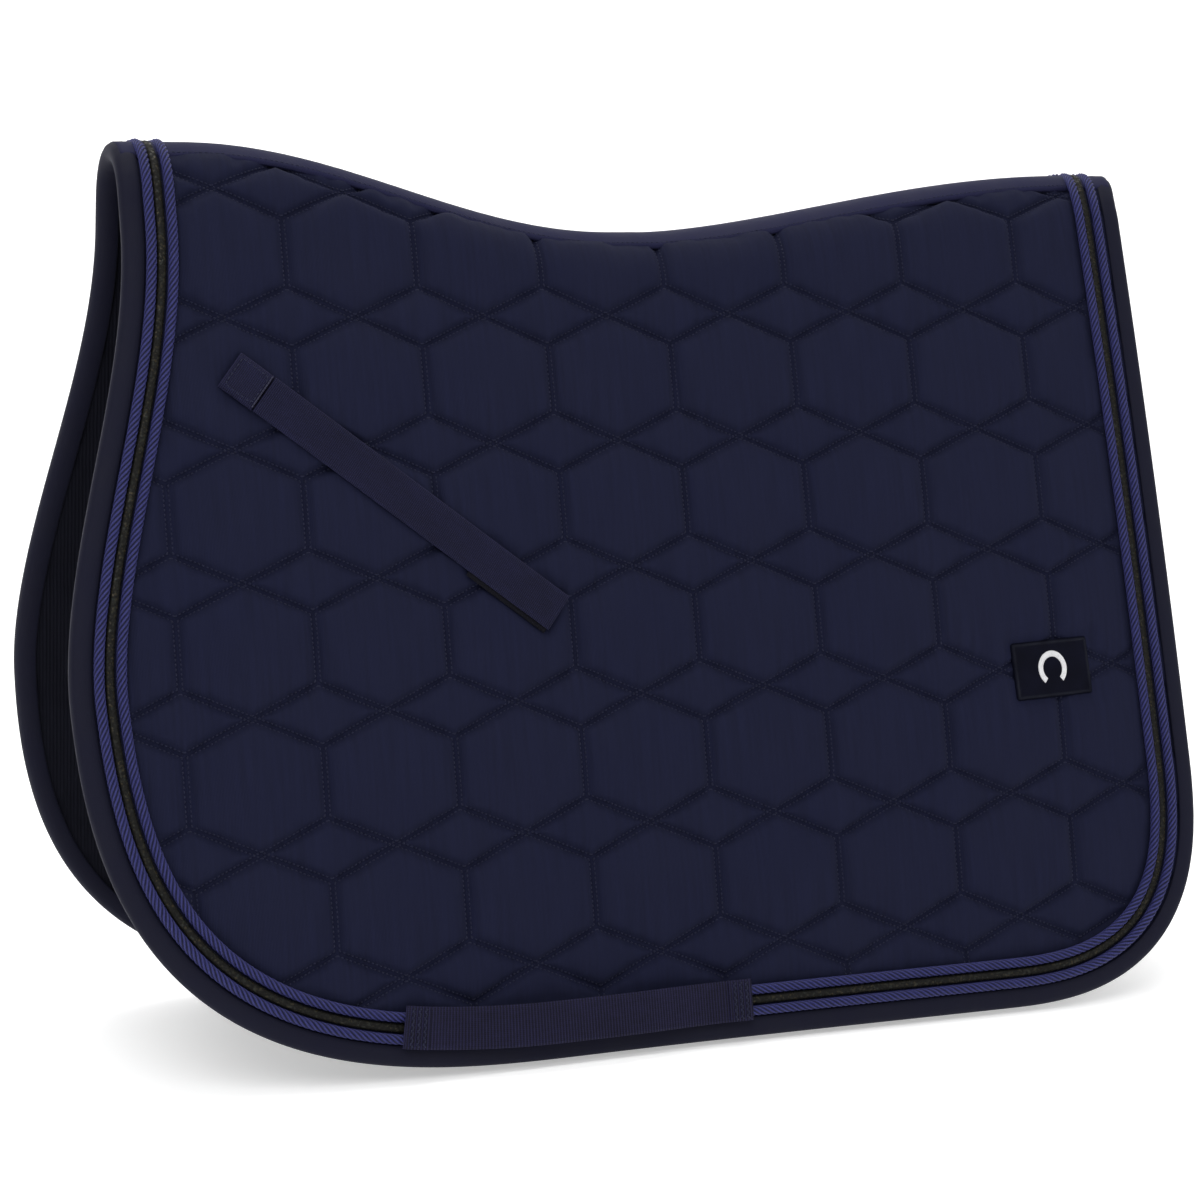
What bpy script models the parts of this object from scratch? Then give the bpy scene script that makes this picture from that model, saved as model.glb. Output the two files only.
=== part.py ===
"""Saddle pad: two wadded flaps joined along a curved spine, with trim, girth loops and billet straps.

Metres, +Z up. The horse faces -X, so its left side is at -Y. The origin is on the underside of the
spine, at the lowest point of the spine line.

Every sewn piece is laid out flat on a cutting pattern and then draped. A pattern point is (x, depth):
x runs along the spine, and depth runs down the flap from the level of the lowest point of the spine.
"""

import math

import bmesh
import bpy
from mathutils import Matrix, Vector

# Spine line
SEAT_HALF_LENGTH = 0.010
WITHERS_RISE, WITHERS_RUN, WITHERS_POWER = 0.0538, 0.283, 2.02
CANTLE_RISE, CANTLE_RUN, CANTLE_POWER = 0.0369, 0.319, 1.58
SPINE_FRONT, SPINE_REAR = -0.328, 0.341

# Section across the spine: a tight arch, then a flap that hangs almost straight
ARCH_RADIUS = 0.0377
FLAP_SPLAY = math.radians(13.6)
FLAP_CURL = 0.16
ARCH_ANGLE = math.pi / 2 - FLAP_SPLAY
ARCH_ARC = ARCH_RADIUS * ARCH_ANGLE

# Flap outline on the pattern
FLAP_DEPTH = 0.5225
FRONT_FLARE, FLARE_START, FLARE_LENGTH = 0.0494, 0.016, 0.281
REAR_FLARE = 0.011
REAR_PEAK, REAR_PEAK_ARC = 0.009, 0.045

# Bottom corners: width, height and exponent of the rounding
FRONT_CORNER = (0.303, 0.282, 3.0)
REAR_CORNER = (0.148, 0.142, 2.6)

# Layers, counted inwards from the outer face of the shell
GAP = 0.0003
CLOTH = 0.0010
WADDING = 0.0070
STACK = CLOTH + GAP + WADDING + GAP + CLOTH
SPINE_TAPE_HALF_WIDTH = 0.026
SPINE_SEAM = 0.0012

# Flat seat along the underside of the spine, at height 0
SEAT_HALF_WIDTH = 0.008
SEAT_ANGLE = SEAT_HALF_WIDTH / ARCH_RADIUS
SEAT_SAG = ARCH_RADIUS * (1 - math.cos(SEAT_ANGLE))
CROWN_HEIGHT = SEAT_SAG + (STACK + CLOTH / 2) * math.cos(SEAT_ANGLE) + CLOTH / 2

# Trim round the flap, as distances in from its edge
EDGE_MARGIN = 0.0044
BINDING_WIDTH, BINDING_CLOTH = 0.012, 0.0008
CORD_DIAMETER = 0.0060
OUTER_CORD_INSET, BRAID_INSET, INNER_CORD_INSET = 0.0160, 0.0224, 0.0288
BRAID_WIDTH, BRAID_THICKNESS = 0.0052, 0.0016

# The trim sits this much further in along the rear edge, reached between these two places along x
REAR_SETBACK, SETBACK_START, SETBACK_END = 0.0038, 0.150, 0.300
TRIM_TOP = 0.0290

# Longest straight step of a sewn piece: over the arch, and elsewhere
ARCH_STEP, FLAP_STEP = 0.010, 0.030

# Webbing
WEBBING_WIDTH, WEBBING_THICKNESS = 0.025, 0.0016
GIRTH_LOOP_FRONT, GIRTH_LOOP_REAR = -0.197, 0.026
GIRTH_LOOP_INSET = 0.0235
GIRTH_LOOP_END = 0.018
GIRTH_LOOP_BOW = 0.0090
GIRTH_LOOP_CLIMB = 0.060
STRAP_ANGLE = math.radians(38.4)
STRAP_HINGE = (-0.253, 0.119)
STRAP_LENGTH = 0.222
ANCHOR_LENGTH = 0.024
STRAP_LIFT = 0.0034
STRAP_HINGE_LIFT = 0.0054
HOOK_LENGTH = 0.060
HOOK_THICKNESS = 0.0012

# Badge, on the left flap only
BADGE_CENTRE = (0.254, 0.309)
BADGE_SIZE = (0.055, 0.037)
BADGE_TILT = math.radians(-2.5)
BADGE_THICKNESS = 0.0012
HORSESHOE_RADIUS, HORSESHOE_BAND = 0.0085, 0.0035
HORSESHOE_OPENING = math.radians(80)

# The flap hinges, level with the highest point of the spine
FLAP_HINGE_Y = ARCH_RADIUS * math.sin(SPINE_TAPE_HALF_WIDTH / ARCH_RADIUS)
FLAP_HINGE_Z = CROWN_HEIGHT + WITHERS_RISE

LEFT, RIGHT = -1, 1
SIDES = {"left": LEFT, "right": RIGHT}


# ---------------------------------------------------------------- draping


def spine_height(x):
    """Height of the spine line above its lowest point."""
    if x < 0:
        rise, run, power = WITHERS_RISE, WITHERS_RUN, WITHERS_POWER
    else:
        rise, run, power = CANTLE_RISE, CANTLE_RUN, CANTLE_POWER
    share = (abs(x) - SEAT_HALF_LENGTH) / (run - SEAT_HALF_LENGTH)
    share = min(max(share, 0), 1)
    return rise * math.sin(math.pi / 2 * share) ** power


def section(arc):
    """Outward distance, drop and slope angle at this arc length from the spine line."""
    angle = min(arc, ARCH_ARC) / ARCH_RADIUS
    out = ARCH_RADIUS * math.sin(angle)
    drop = ARCH_RADIUS * (1 - math.cos(angle))
    if arc > ARCH_ARC:
        angle = ARCH_ANGLE + FLAP_CURL * (arc - ARCH_ARC)
        out += (math.sin(angle) - math.sin(ARCH_ANGLE)) / FLAP_CURL
        drop += (math.cos(ARCH_ANGLE) - math.cos(angle)) / FLAP_CURL
    return out, drop, angle


def drape_arc(x, arc, lift, side):
    """The point at this arc length from the spine line, lifted off the shell's outer face."""
    out, drop, angle = section(abs(arc))
    out += lift * math.sin(angle)
    height = CROWN_HEIGHT + spine_height(x) - drop + lift * math.cos(angle)
    return Vector((x, side * out * math.copysign(1, arc), height))


def drape(x, depth, lift, side):
    """The draped place of a pattern point."""
    return drape_arc(x, depth + spine_height(x), lift, side)


# ---------------------------------------------------------------- the flap's outline


def smooth_step(value):
    value = min(max(value, 0), 1)
    return value * value * (3 - 2 * value)


def corner_reach(depth, corner):
    """Share of a bottom corner's width that is left at this depth."""
    _, height, exponent = corner
    share = (depth - (FLAP_DEPTH - height)) / height
    if share <= 0:
        return 1
    return max(1 - share**exponent, 0) ** (1 / exponent)


def front_edge(depth):
    flare = FRONT_FLARE * smooth_step((depth - FLARE_START) / FLARE_LENGTH)
    return SPINE_FRONT - flare + FRONT_CORNER[0] * (1 - corner_reach(depth, FRONT_CORNER))


def rear_edge(depth):
    flare = REAR_FLARE * min(max(depth, 0) / (FLAP_DEPTH - REAR_CORNER[1]), 1)
    peak = REAR_PEAK * (1 - smooth_step((depth + CANTLE_RISE) / REAR_PEAK_ARC))
    return SPINE_REAR + flare + peak - REAR_CORNER[0] * (1 - corner_reach(depth, REAR_CORNER))


def outline():
    """Dense points of the flap's edge on the pattern, from the front of the spine round to its rear."""
    front, rear = [], []
    top = -WITHERS_RISE
    steps = 160
    for i in range(steps + 1):
        turn = math.sin(math.pi / 2 * i / steps)
        depth = top + (FLAP_DEPTH - top) * turn
        front.append(Vector((front_edge(depth), depth)))
        rear.append(Vector((rear_edge(depth), depth)))
    bottom_steps = 30
    between = [front[-1].lerp(rear[-1], i / bottom_steps) for i in range(1, bottom_steps)]
    return front + between + rear[::-1]


def inset_path(distance, start_arc):
    """The outline moved in by this distance, cut off where it comes within start_arc of the spine line."""
    edge = outline()
    moved = []
    for i, point in enumerate(edge):
        along = (edge[min(i + 1, len(edge) - 1)] - edge[max(i - 1, 0)]).normalized()
        moved.append(point + distance * Vector((along.y, -along.x)))
    return [p for p in moved if p.y + spine_height(p.x) >= start_arc]


def steps_needed(path):
    """Running count of steps along a pattern path, shorter over the arch than on the flap."""
    counts = [0]
    for a, b in zip(path, path[1:]):
        over_arch = b.y + spine_height(b.x) < ARCH_ARC
        counts.append(counts[-1] + (b - a).length / (ARCH_STEP if over_arch else FLAP_STEP))
    return counts


def station_count(path):
    return math.ceil(steps_needed(path)[-1]) + 1


def resample(path, count):
    """The same path as this many points, one step apart."""
    counts = steps_needed(path)
    points, k = [], 0
    for i in range(count):
        target = counts[-1] * i / (count - 1)
        while k < len(path) - 2 and counts[k + 1] < target:
            k += 1
        share = (target - counts[k]) / (counts[k + 1] - counts[k])
        points.append(path[k].lerp(path[k + 1], min(max(share, 0), 1)))
    return points


def set_back(point):
    """A point of the trim, moved further in from the rear edge."""
    share = (point.x - SETBACK_START) / (SETBACK_END - SETBACK_START)
    return Vector((point.x - REAR_SETBACK * smooth_step(share), point.y))


def runs_beside_girth_loop(distance):
    """The trim's front run and rear run at this distance from the edge. Both end under the girth loop."""
    path = [set_back(p) for p in inset_path(distance, TRIM_TOP)]
    under = FLAP_DEPTH / 2
    tuck = GIRTH_LOOP_END
    front = [p for p in path if p.x < GIRTH_LOOP_FRONT + tuck]
    rear = [p for p in path if p.x > GIRTH_LOOP_REAR - tuck and (p.y > under or p.x > 0)]
    return {"front": front, "rear": rear}


def hem_path(start, end, distance, steps):
    """Points between two places along x, on the hem moved in by this distance."""
    hem = [p for p in inset_path(distance, TRIM_TOP) if p.y > FLAP_DEPTH - GIRTH_LOOP_CLIMB]
    points, k = [], 0
    for i in range(steps + 1):
        x = start + (end - start) * i / steps
        while hem[k + 1].x < x:
            k += 1
        points.append(hem[k].lerp(hem[k + 1], (x - hem[k].x) / (hem[k + 1].x - hem[k].x)))
    return points


# ---------------------------------------------------------------- object builders


def clear_scene():
    for obj in list(bpy.data.objects):
        bpy.data.objects.remove(obj, do_unlink=True)


def make_material(name, color, roughness, metallic=0.0):
    material = bpy.data.materials.new(name)
    material.use_nodes = True
    shader = material.node_tree.nodes["Principled BSDF"]
    shader.inputs["Base Color"].default_value = (*color, 1)
    shader.inputs["Roughness"].default_value = roughness
    shader.inputs["Metallic"].default_value = metallic
    return material


def add_object(name, data, material, collection, parent):
    obj = bpy.data.objects.new(name, data)
    obj.data.materials.append(material)
    collection.objects.link(obj)
    obj.parent = parent
    if parent is not None:
        obj.matrix_parent_inverse = Matrix.Translation(-parent.location)
    return obj


def sheet(name, columns, rows, place, thickness, material, collection, parent, side):
    """A grid of columns by rows cells, whose (across, down) shares go through place, made solid."""
    mesh = bpy.data.meshes.new(name)
    form = bmesh.new()
    bmesh.ops.create_grid(form, x_segments=columns, y_segments=rows, size=1)
    for vertex in form.verts:
        vertex.co = place((vertex.co.x + 1) / 2, (vertex.co.y + 1) / 2)
    if side == RIGHT:
        bmesh.ops.reverse_faces(form, faces=form.faces)
    form.to_mesh(mesh)
    form.free()
    obj = add_object(name, mesh, material, collection, parent)
    solid = obj.modifiers.new("thickness", "SOLIDIFY")
    solid.thickness = thickness
    solid.offset = 0
    return obj


def flap_layer(name, lift, thickness, material, collection, parent, side):
    """One full layer of a flap: its rows follow the spine line at the top and the hem at the bottom."""
    start_arc = SPINE_TAPE_HALF_WIDTH + SPINE_SEAM
    arch_rows, flap_rows = 3, 10
    bottom = FLAP_DEPTH - EDGE_MARGIN

    def row_depth(x, down):
        row = round(down * (arch_rows + flap_rows))
        if row <= arch_rows:
            return start_arc + (ARCH_ARC - start_arc) * row / arch_rows - spine_height(x)
        share = 1 - (1 - (row - arch_rows) / flap_rows) ** 1.7
        top = ARCH_ARC - spine_height(x)
        return top + (bottom - top) * share

    def place(across, down):
        margin = EDGE_MARGIN * down
        left = front_edge(row_depth(SPINE_FRONT, down) + margin) + EDGE_MARGIN
        right = rear_edge(row_depth(SPINE_REAR, down) + margin) - EDGE_MARGIN
        x = left + (right - left) * across
        return drape(x, row_depth(x, down), lift, side)

    rows = arch_rows + flap_rows
    return sheet(name, 14, rows, place, thickness, material, collection, parent, side)


def edge_strip(name, start_arc, profile, thickness, material, collection, parent, side):
    """A strip sewn along the edge: profile lists (distance in from the edge, lift) across it."""
    paths = [inset_path(distance, start_arc) for distance, _ in profile]
    stations = station_count(paths[0])
    edges = [resample(path, stations) for path in paths]

    def place(across, down):
        k = round(down * (len(profile) - 1))
        point = edges[k][round(across * (stations - 1))]
        return drape(point.x, point.y, profile[k][1], side)

    columns, rows = stations - 1, len(profile) - 1
    return sheet(name, columns, rows, place, thickness, material, collection, parent, side)


def ribbon(name, path, width, lift, thickness, stations, material, collection, parent, side):
    """A flat ribbon centred on a pattern path. lift is a number or a function of across."""
    points = resample(path, stations)

    def place(across, down):
        i = round(across * (stations - 1))
        along = (points[min(i + 1, stations - 1)] - points[max(i - 1, 0)]).normalized()
        point = points[i] + (down - 0.5) * width * Vector((-along.y, along.x))
        height = lift(across) if callable(lift) else lift
        return drape(point.x, point.y, height, side)

    return sheet(name, stations - 1, 1, place, thickness, material, collection, parent, side)


def cord(name, path, stations, material, collection, parent, side):
    """A round cord along a pattern path, lying on the shell."""
    lift = 2 * GAP + CORD_DIAMETER / 2
    curve = bpy.data.curves.new(name, "CURVE")
    curve.dimensions = "3D"
    curve.bevel_depth = CORD_DIAMETER / 2
    curve.bevel_resolution = 2
    curve.use_fill_caps = True
    points = resample(path, stations)
    spline = curve.splines.new("POLY")
    spline.points.add(len(points) - 1)
    for target, point in zip(spline.points, points):
        target.co = (*drape(point.x, point.y, lift, side), 1)
    return add_object(name, curve, material, collection, parent)


def patch(name, centre, size, angle, lift, thickness, cells, material, collection, parent, side):
    """A rectangle of webbing or cloth, turned on the pattern."""
    cosine, sine = math.cos(angle), math.sin(angle)

    def place(across, down):
        along, over = (across - 0.5) * size[0], (down - 0.5) * size[1]
        x = centre[0] + along * cosine - over * sine
        depth = centre[1] + along * sine + over * cosine
        return drape(x, depth, lift, side)

    return sheet(name, *cells, place, thickness, material, collection, parent, side)


# ---------------------------------------------------------------- the pad


def make_materials():
    return {
        "shell": make_material("navy_quilted_cloth", (0.012, 0.013, 0.035), 0.85),
        "wadding": make_material("wadding", (0.75, 0.75, 0.72), 0.95),
        "lining": make_material("navy_lining", (0.007, 0.008, 0.016), 0.9),
        "binding": make_material("navy_binding", (0.011, 0.012, 0.026), 0.6),
        "cord": make_material("royal_blue_cord", (0.040, 0.040, 0.190), 0.55),
        "braid": make_material("black_glitter_braid", (0.008, 0.008, 0.009), 0.35, 0.3),
        "webbing": make_material("navy_webbing", (0.020, 0.018, 0.046), 0.7),
        "tape": make_material("indigo_spine_tape", (0.022, 0.022, 0.080), 0.7),
        "hook": make_material("black_hook_strip", (0.010, 0.010, 0.011), 0.8),
        "badge": make_material("black_badge", (0.010, 0.010, 0.014), 0.5),
        "emblem": make_material("white_emblem", (0.75, 0.75, 0.76), 0.6),
    }


def make_joint_empty(name, location, collection):
    empty = bpy.data.objects.new(name, None)
    empty.location = location
    collection.objects.link(empty)
    return empty


def make_spine(materials, collection):
    """The narrow middle strip that joins the two flaps."""
    front = SPINE_FRONT + EDGE_MARGIN
    cells_before, cells_seat, cells_after = 9, 1, 9
    columns = cells_before + cells_seat + cells_after
    middle = SEAT_HALF_WIDTH

    def strip(name, half_width, lift, thickness, material):
        def place(across, down):
            i = round(across * columns)
            arc = arcs[round(down * 5)]
            rear = rear_edge(abs(arc) - CANTLE_RISE) - EDGE_MARGIN
            if i <= cells_before:
                x = front + (-SEAT_HALF_LENGTH - front) * i / cells_before
            else:
                share = (i - cells_before - cells_seat) / cells_after
                x = SEAT_HALF_LENGTH + (rear - SEAT_HALF_LENGTH) * share
            return drape_arc(x, arc, lift, RIGHT)

        between = (middle + half_width) / 2
        arcs = [-half_width, -between, -middle, middle, between, half_width]
        return sheet(name, columns, 5, place, thickness, material, collection, None, LEFT)

    half = SPINE_TAPE_HALF_WIDTH
    core_lift = -CLOTH / 2 - GAP - WADDING / 2
    strip("spine_tape_outer", half, CLOTH / 2, CLOTH, materials["tape"])
    bridge = (core_lift - CLOTH / 4, WADDING + CLOTH / 2)
    strip("spine_wadding_bridge", half - SPINE_SEAM, *bridge, materials["wadding"])
    strip("spine_tape_inner", half, -STACK - CLOTH / 2, CLOTH, materials["tape"])


def make_flap(label, side, materials, collection):
    """Everything that swings with one flap, apart from its billet strap."""
    parent = make_joint_empty(
        f"{label}_flap_hinge", (0, side * FLAP_HINGE_Y, FLAP_HINGE_Z), collection
    )
    common = (collection, parent, side)
    core_lift = -CLOTH - GAP - WADDING / 2
    flap_layer(f"{label}_outer_shell", -CLOTH / 2, CLOTH, materials["shell"], *common)
    flap_layer(f"{label}_wadding_core", core_lift, WADDING, materials["wadding"], *common)
    flap_layer(f"{label}_lining", -STACK + CLOTH / 2, CLOTH, materials["lining"], *common)

    off = 3 * GAP + BINDING_CLOTH / 2
    fold = BINDING_CLOTH / 2
    shoulder = EDGE_MARGIN * 0.3
    profile = [
        (BINDING_WIDTH, off),
        (shoulder, off),
        (fold, -STACK * 0.18),
        (fold, -STACK * 0.82),
        (shoulder, -STACK - off),
        (BINDING_WIDTH, -STACK - off),
    ]
    edge_strip(
        f"{label}_edge_binding", TRIM_TOP, profile, BINDING_CLOTH, materials["binding"], *common
    )
    make_trim(label, materials, common)
    make_girth_loop(label, materials, common)
    make_strap_anchor(label, materials, common)
    return parent


def make_trim(label, materials, common):
    """Two twisted cords with a flat braid between them, in a front run and a rear run."""
    for run in ("front", "rear"):
        insets = {"outer_cord": OUTER_CORD_INSET, "inner_cord": INNER_CORD_INSET}
        paths = {name: runs_beside_girth_loop(inset)[run] for name, inset in insets.items()}
        braid_path = runs_beside_girth_loop(BRAID_INSET)[run]
        stations = station_count(braid_path)
        for name, path in paths.items():
            cord(f"{label}_{run}_{name}", path, stations, materials["cord"], *common)
        ribbon(
            f"{label}_{run}_glitter_braid",
            braid_path,
            BRAID_WIDTH,
            2 * GAP + BRAID_THICKNESS / 2,
            BRAID_THICKNESS,
            stations,
            materials["braid"],
            *common,
        )


def make_girth_loop(label, materials, common):
    """Webbing sewn down at both ends over the trim, with room behind its middle for the girth."""
    seat = CORD_DIAMETER + 3 * GAP + WEBBING_THICKNESS / 2
    flat = GIRTH_LOOP_END / (GIRTH_LOOP_REAR - GIRTH_LOOP_FRONT)

    def lift(across):
        share = (min(across, 1 - across) - flat) / (0.5 - flat)
        return seat + GIRTH_LOOP_BOW * smooth_step(share * 1.25)

    cells = 20
    ribbon(
        f"{label}_girth_loop",
        hem_path(GIRTH_LOOP_FRONT, GIRTH_LOOP_REAR, GIRTH_LOOP_INSET, cells),
        WEBBING_WIDTH,
        lift,
        WEBBING_THICKNESS,
        cells + 1,
        materials["webbing"],
        *common,
    )
    near, far = 0.05 * GIRTH_LOOP_END, 0.85 * GIRTH_LOOP_END
    spans = {
        "front": (GIRTH_LOOP_FRONT + near, GIRTH_LOOP_FRONT + far),
        "rear": (GIRTH_LOOP_REAR - far, GIRTH_LOOP_REAR - near),
    }
    for end, span in spans.items():
        ribbon(
            f"{label}_girth_loop_{end}_tab",
            hem_path(*span, GIRTH_LOOP_INSET, 2),
            WEBBING_WIDTH,
            seat + WEBBING_THICKNESS + GAP,
            WEBBING_THICKNESS,
            3,
            materials["webbing"],
            *common,
        )


def along_strap(distance):
    """The pattern point this far along the billet strap from its hinge."""
    return (
        STRAP_HINGE[0] + distance * math.cos(STRAP_ANGLE),
        STRAP_HINGE[1] + distance * math.sin(STRAP_ANGLE),
    )


def make_strap_anchor(label, materials, common):
    """The folded patch that holds the strap, and the loop strip that the strap's end closes on."""
    clearance = 0.0008
    patch(
        f"{label}_strap_anchor",
        along_strap(-ANCHOR_LENGTH / 2 - clearance),
        (ANCHOR_LENGTH, WEBBING_WIDTH),
        STRAP_ANGLE,
        GAP + 0.0024,
        0.0046,
        (2, 2),
        materials["webbing"],
        *common,
    )
    patch(
        f"{label}_loop_strip",
        along_strap(STRAP_LENGTH - HOOK_LENGTH / 2 + 0.004),
        (HOOK_LENGTH, WEBBING_WIDTH - 0.003),
        STRAP_ANGLE,
        GAP + HOOK_THICKNESS / 2,
        HOOK_THICKNESS,
        (4, 1),
        materials["hook"],
        *common,
    )


def make_strap(label, side, materials, collection, flap):
    """The billet strap, which lifts about its stitched end, with the hook strip under its free end."""
    hinge = drape(*STRAP_HINGE, STRAP_HINGE_LIFT, side)
    parent = make_joint_empty(f"{label}_strap_hinge", hinge - flap.location, collection)
    parent.parent = flap
    common = (collection, None, side)
    clearance = 0.0008
    length = STRAP_LENGTH - clearance
    strap = patch(
        f"{label}_billet_strap",
        along_strap(clearance + length / 2),
        (length, WEBBING_WIDTH),
        STRAP_ANGLE,
        STRAP_LIFT + WEBBING_THICKNESS / 2,
        WEBBING_THICKNESS,
        (12, 1),
        materials["webbing"],
        *common,
    )
    hook = patch(
        f"{label}_hook_strip",
        along_strap(STRAP_LENGTH - HOOK_LENGTH / 2 - 0.001),
        (HOOK_LENGTH, WEBBING_WIDTH - 0.002),
        STRAP_ANGLE,
        STRAP_LIFT - GAP - HOOK_THICKNESS / 2,
        HOOK_THICKNESS * 0.7,
        (4, 1),
        materials["hook"],
        *common,
    )
    bpy.context.view_layer.update()
    for obj in (strap, hook):
        obj.parent = parent
        obj.matrix_parent_inverse = parent.matrix_world.inverted()


def make_badge(materials, collection, parent):
    """A dark patch with a plain horseshoe, on the left flap."""
    common = (collection, parent, LEFT)
    lift = GAP + BADGE_THICKNESS / 2
    patch(
        "badge_patch",
        BADGE_CENTRE,
        BADGE_SIZE,
        BADGE_TILT,
        lift,
        BADGE_THICKNESS,
        (4, 3),
        materials["badge"],
        *common,
    )
    steps = 18
    path = []
    for i in range(steps + 1):
        half_turn = math.pi - HORSESHOE_OPENING / 2
        angle = -math.pi / 2 + half_turn * (2 * i / steps - 1)
        x = BADGE_CENTRE[0] + HORSESHOE_RADIUS * math.cos(angle)
        depth = BADGE_CENTRE[1] + 1.12 * HORSESHOE_RADIUS * math.sin(angle)
        path.append(Vector((x, depth)))
    emblem_lift = 2 * GAP + BADGE_THICKNESS + CLOTH / 2
    ribbon(
        "badge_emblem",
        path,
        HORSESHOE_BAND,
        emblem_lift,
        CLOTH / 2,
        steps + 1,
        materials["emblem"],
        *common,
    )


def main():
    clear_scene()
    collection = bpy.data.collections.new("saddle_pad")
    bpy.context.scene.collection.children.link(collection)
    materials = make_materials()
    make_spine(materials, collection)
    flaps = {}
    for label, side in SIDES.items():
        flaps[label] = make_flap(label, side, materials, collection)
        make_strap(label, side, materials, collection, flaps[label])
    make_badge(materials, collection, flaps["left"])


main()
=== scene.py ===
"""Looks of the saddle pad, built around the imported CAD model.

Every sewn piece is laid out on the same cutting pattern as the CAD: a pattern point is (x, depth),
and drape() puts it on the horse. lift is the height above the flap's outer face.
"""

import math

import bpy
import numpy as np
from mathutils import Matrix, Vector


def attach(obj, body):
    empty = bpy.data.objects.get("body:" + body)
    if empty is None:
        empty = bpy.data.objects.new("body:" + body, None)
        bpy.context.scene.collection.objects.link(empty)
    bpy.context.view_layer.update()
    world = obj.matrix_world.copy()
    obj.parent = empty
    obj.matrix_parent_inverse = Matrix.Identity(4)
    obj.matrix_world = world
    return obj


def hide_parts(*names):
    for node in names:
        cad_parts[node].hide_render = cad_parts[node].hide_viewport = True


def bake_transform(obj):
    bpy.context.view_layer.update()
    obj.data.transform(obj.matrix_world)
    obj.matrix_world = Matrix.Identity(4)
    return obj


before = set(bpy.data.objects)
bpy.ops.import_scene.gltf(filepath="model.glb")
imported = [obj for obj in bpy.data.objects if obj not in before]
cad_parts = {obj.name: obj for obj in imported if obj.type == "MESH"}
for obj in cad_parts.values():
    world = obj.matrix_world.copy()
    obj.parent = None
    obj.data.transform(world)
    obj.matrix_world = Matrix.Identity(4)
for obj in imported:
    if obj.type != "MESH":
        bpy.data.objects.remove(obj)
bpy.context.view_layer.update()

# ---------------------------------------------------------------- the CAD's measures

SEAT_HALF_LENGTH = 0.010
WITHERS_RISE, WITHERS_RUN, WITHERS_POWER = 0.0538, 0.283, 2.02
CANTLE_RISE, CANTLE_RUN, CANTLE_POWER = 0.0369, 0.319, 1.58
SPINE_FRONT, SPINE_REAR = -0.328, 0.341
ARCH_RADIUS, FLAP_CURL = 0.0377, 0.16
ARCH_ANGLE = math.pi / 2 - math.radians(13.6)
ARCH_ARC = ARCH_RADIUS * ARCH_ANGLE
CROWN_HEIGHT = 0.011219
STACK = 0.0096
FLAP_DEPTH = 0.5225
FRONT_FLARE, FLARE_START, FLARE_LENGTH = 0.0494, 0.016, 0.281
REAR_FLARE = 0.011
REAR_PEAK, REAR_PEAK_ARC = 0.009, 0.045
FRONT_CORNER, REAR_CORNER = (0.303, 0.282, 3.0), (0.148, 0.142, 2.6)
REAR_SETBACK, SETBACK_START, SETBACK_END = 0.0038, 0.150, 0.300
LEFT, RIGHT = -1, 1
SIDES = {"left": LEFT, "right": RIGHT}

# Quilting: rows of diamonds that touch at crossings, joined to the next row by upright links
CROSSING = (0.0133, 0.2687)
DIAMOND_HALF = (0.0409, 0.0185)
ROW_PITCH = 0.0785
SEAM_GAUGE = 0.0017
STITCH_PITCH, STITCH_LENGTH, STITCH_RADIUS = 0.0027, 0.0016, 0.00058

# Trim
BINDING_WIDTH = 0.0125
OUTER_CORD_INSET, BRAID_INSET, INNER_CORD_INSET = 0.0160, 0.0224, 0.0288
CORD_RADIUS, CORD_LOBES, CORD_LAY = 0.0031, 6, 0.0235
CORD_LIFT, CROWN_SINK, CROWN_SINK_ARC, CROWN_START = 0.0036, 0.0030, 0.030, 0.0006
TAPE_HALF_WIDTH = 0.0262
GIRTH_LOOP_FRONT, GIRTH_LOOP_REAR, GIRTH_LOOP_INSET = -0.197, 0.026, 0.0235
GIRTH_LOOP_BOW, GIRTH_LOOP_SEAT, GIRTH_LOOP_END = 0.0090, 0.0077, 0.018
WEBBING_WIDTH, WEBBING_THICKNESS, FOLD_THICKNESS = 0.025, 0.0016, 0.0010
RIB_PITCH, STRAP_RIB_PITCH = 0.0019, 0.0012
GIRTH_LOOP_CLIMB = 0.060
STRAP_ANGLE = math.radians(38.4)
STRAP_HINGE, STRAP_LENGTH, STRAP_LIFT, ANCHOR_LENGTH = (-0.253, 0.119), 0.222, 0.0034, 0.024
HOOK_LENGTH, HOOK_OFFSET = 0.060, 0.0036
BADGE_CENTRE, BADGE_SIZE, BADGE_TILT = (0.254, 0.309), (0.055, 0.037), math.radians(-2.5)
FRAME_INSET = 0.0016


# ---------------------------------------------------------------- draping, on arrays


def spine_height(x):
    x = np.asarray(x, float)
    front = x < 0
    rise = np.where(front, WITHERS_RISE, CANTLE_RISE)
    run = np.where(front, WITHERS_RUN, CANTLE_RUN)
    power = np.where(front, WITHERS_POWER, CANTLE_POWER)
    share = np.clip((np.abs(x) - SEAT_HALF_LENGTH) / (run - SEAT_HALF_LENGTH), 0, 1)
    return rise * np.sin(math.pi / 2 * share) ** power


def section(arc):
    arc = np.asarray(arc, float)
    angle = np.minimum(arc, ARCH_ARC) / ARCH_RADIUS
    out = ARCH_RADIUS * np.sin(angle)
    drop = ARCH_RADIUS * (1 - np.cos(angle))
    flap = ARCH_ANGLE + FLAP_CURL * np.maximum(arc - ARCH_ARC, 0)
    out = out + (np.sin(flap) - math.sin(ARCH_ANGLE)) / FLAP_CURL
    drop = drop + (math.cos(ARCH_ANGLE) - np.cos(flap)) / FLAP_CURL
    return out, drop, np.where(arc > ARCH_ARC, flap, angle)


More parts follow.
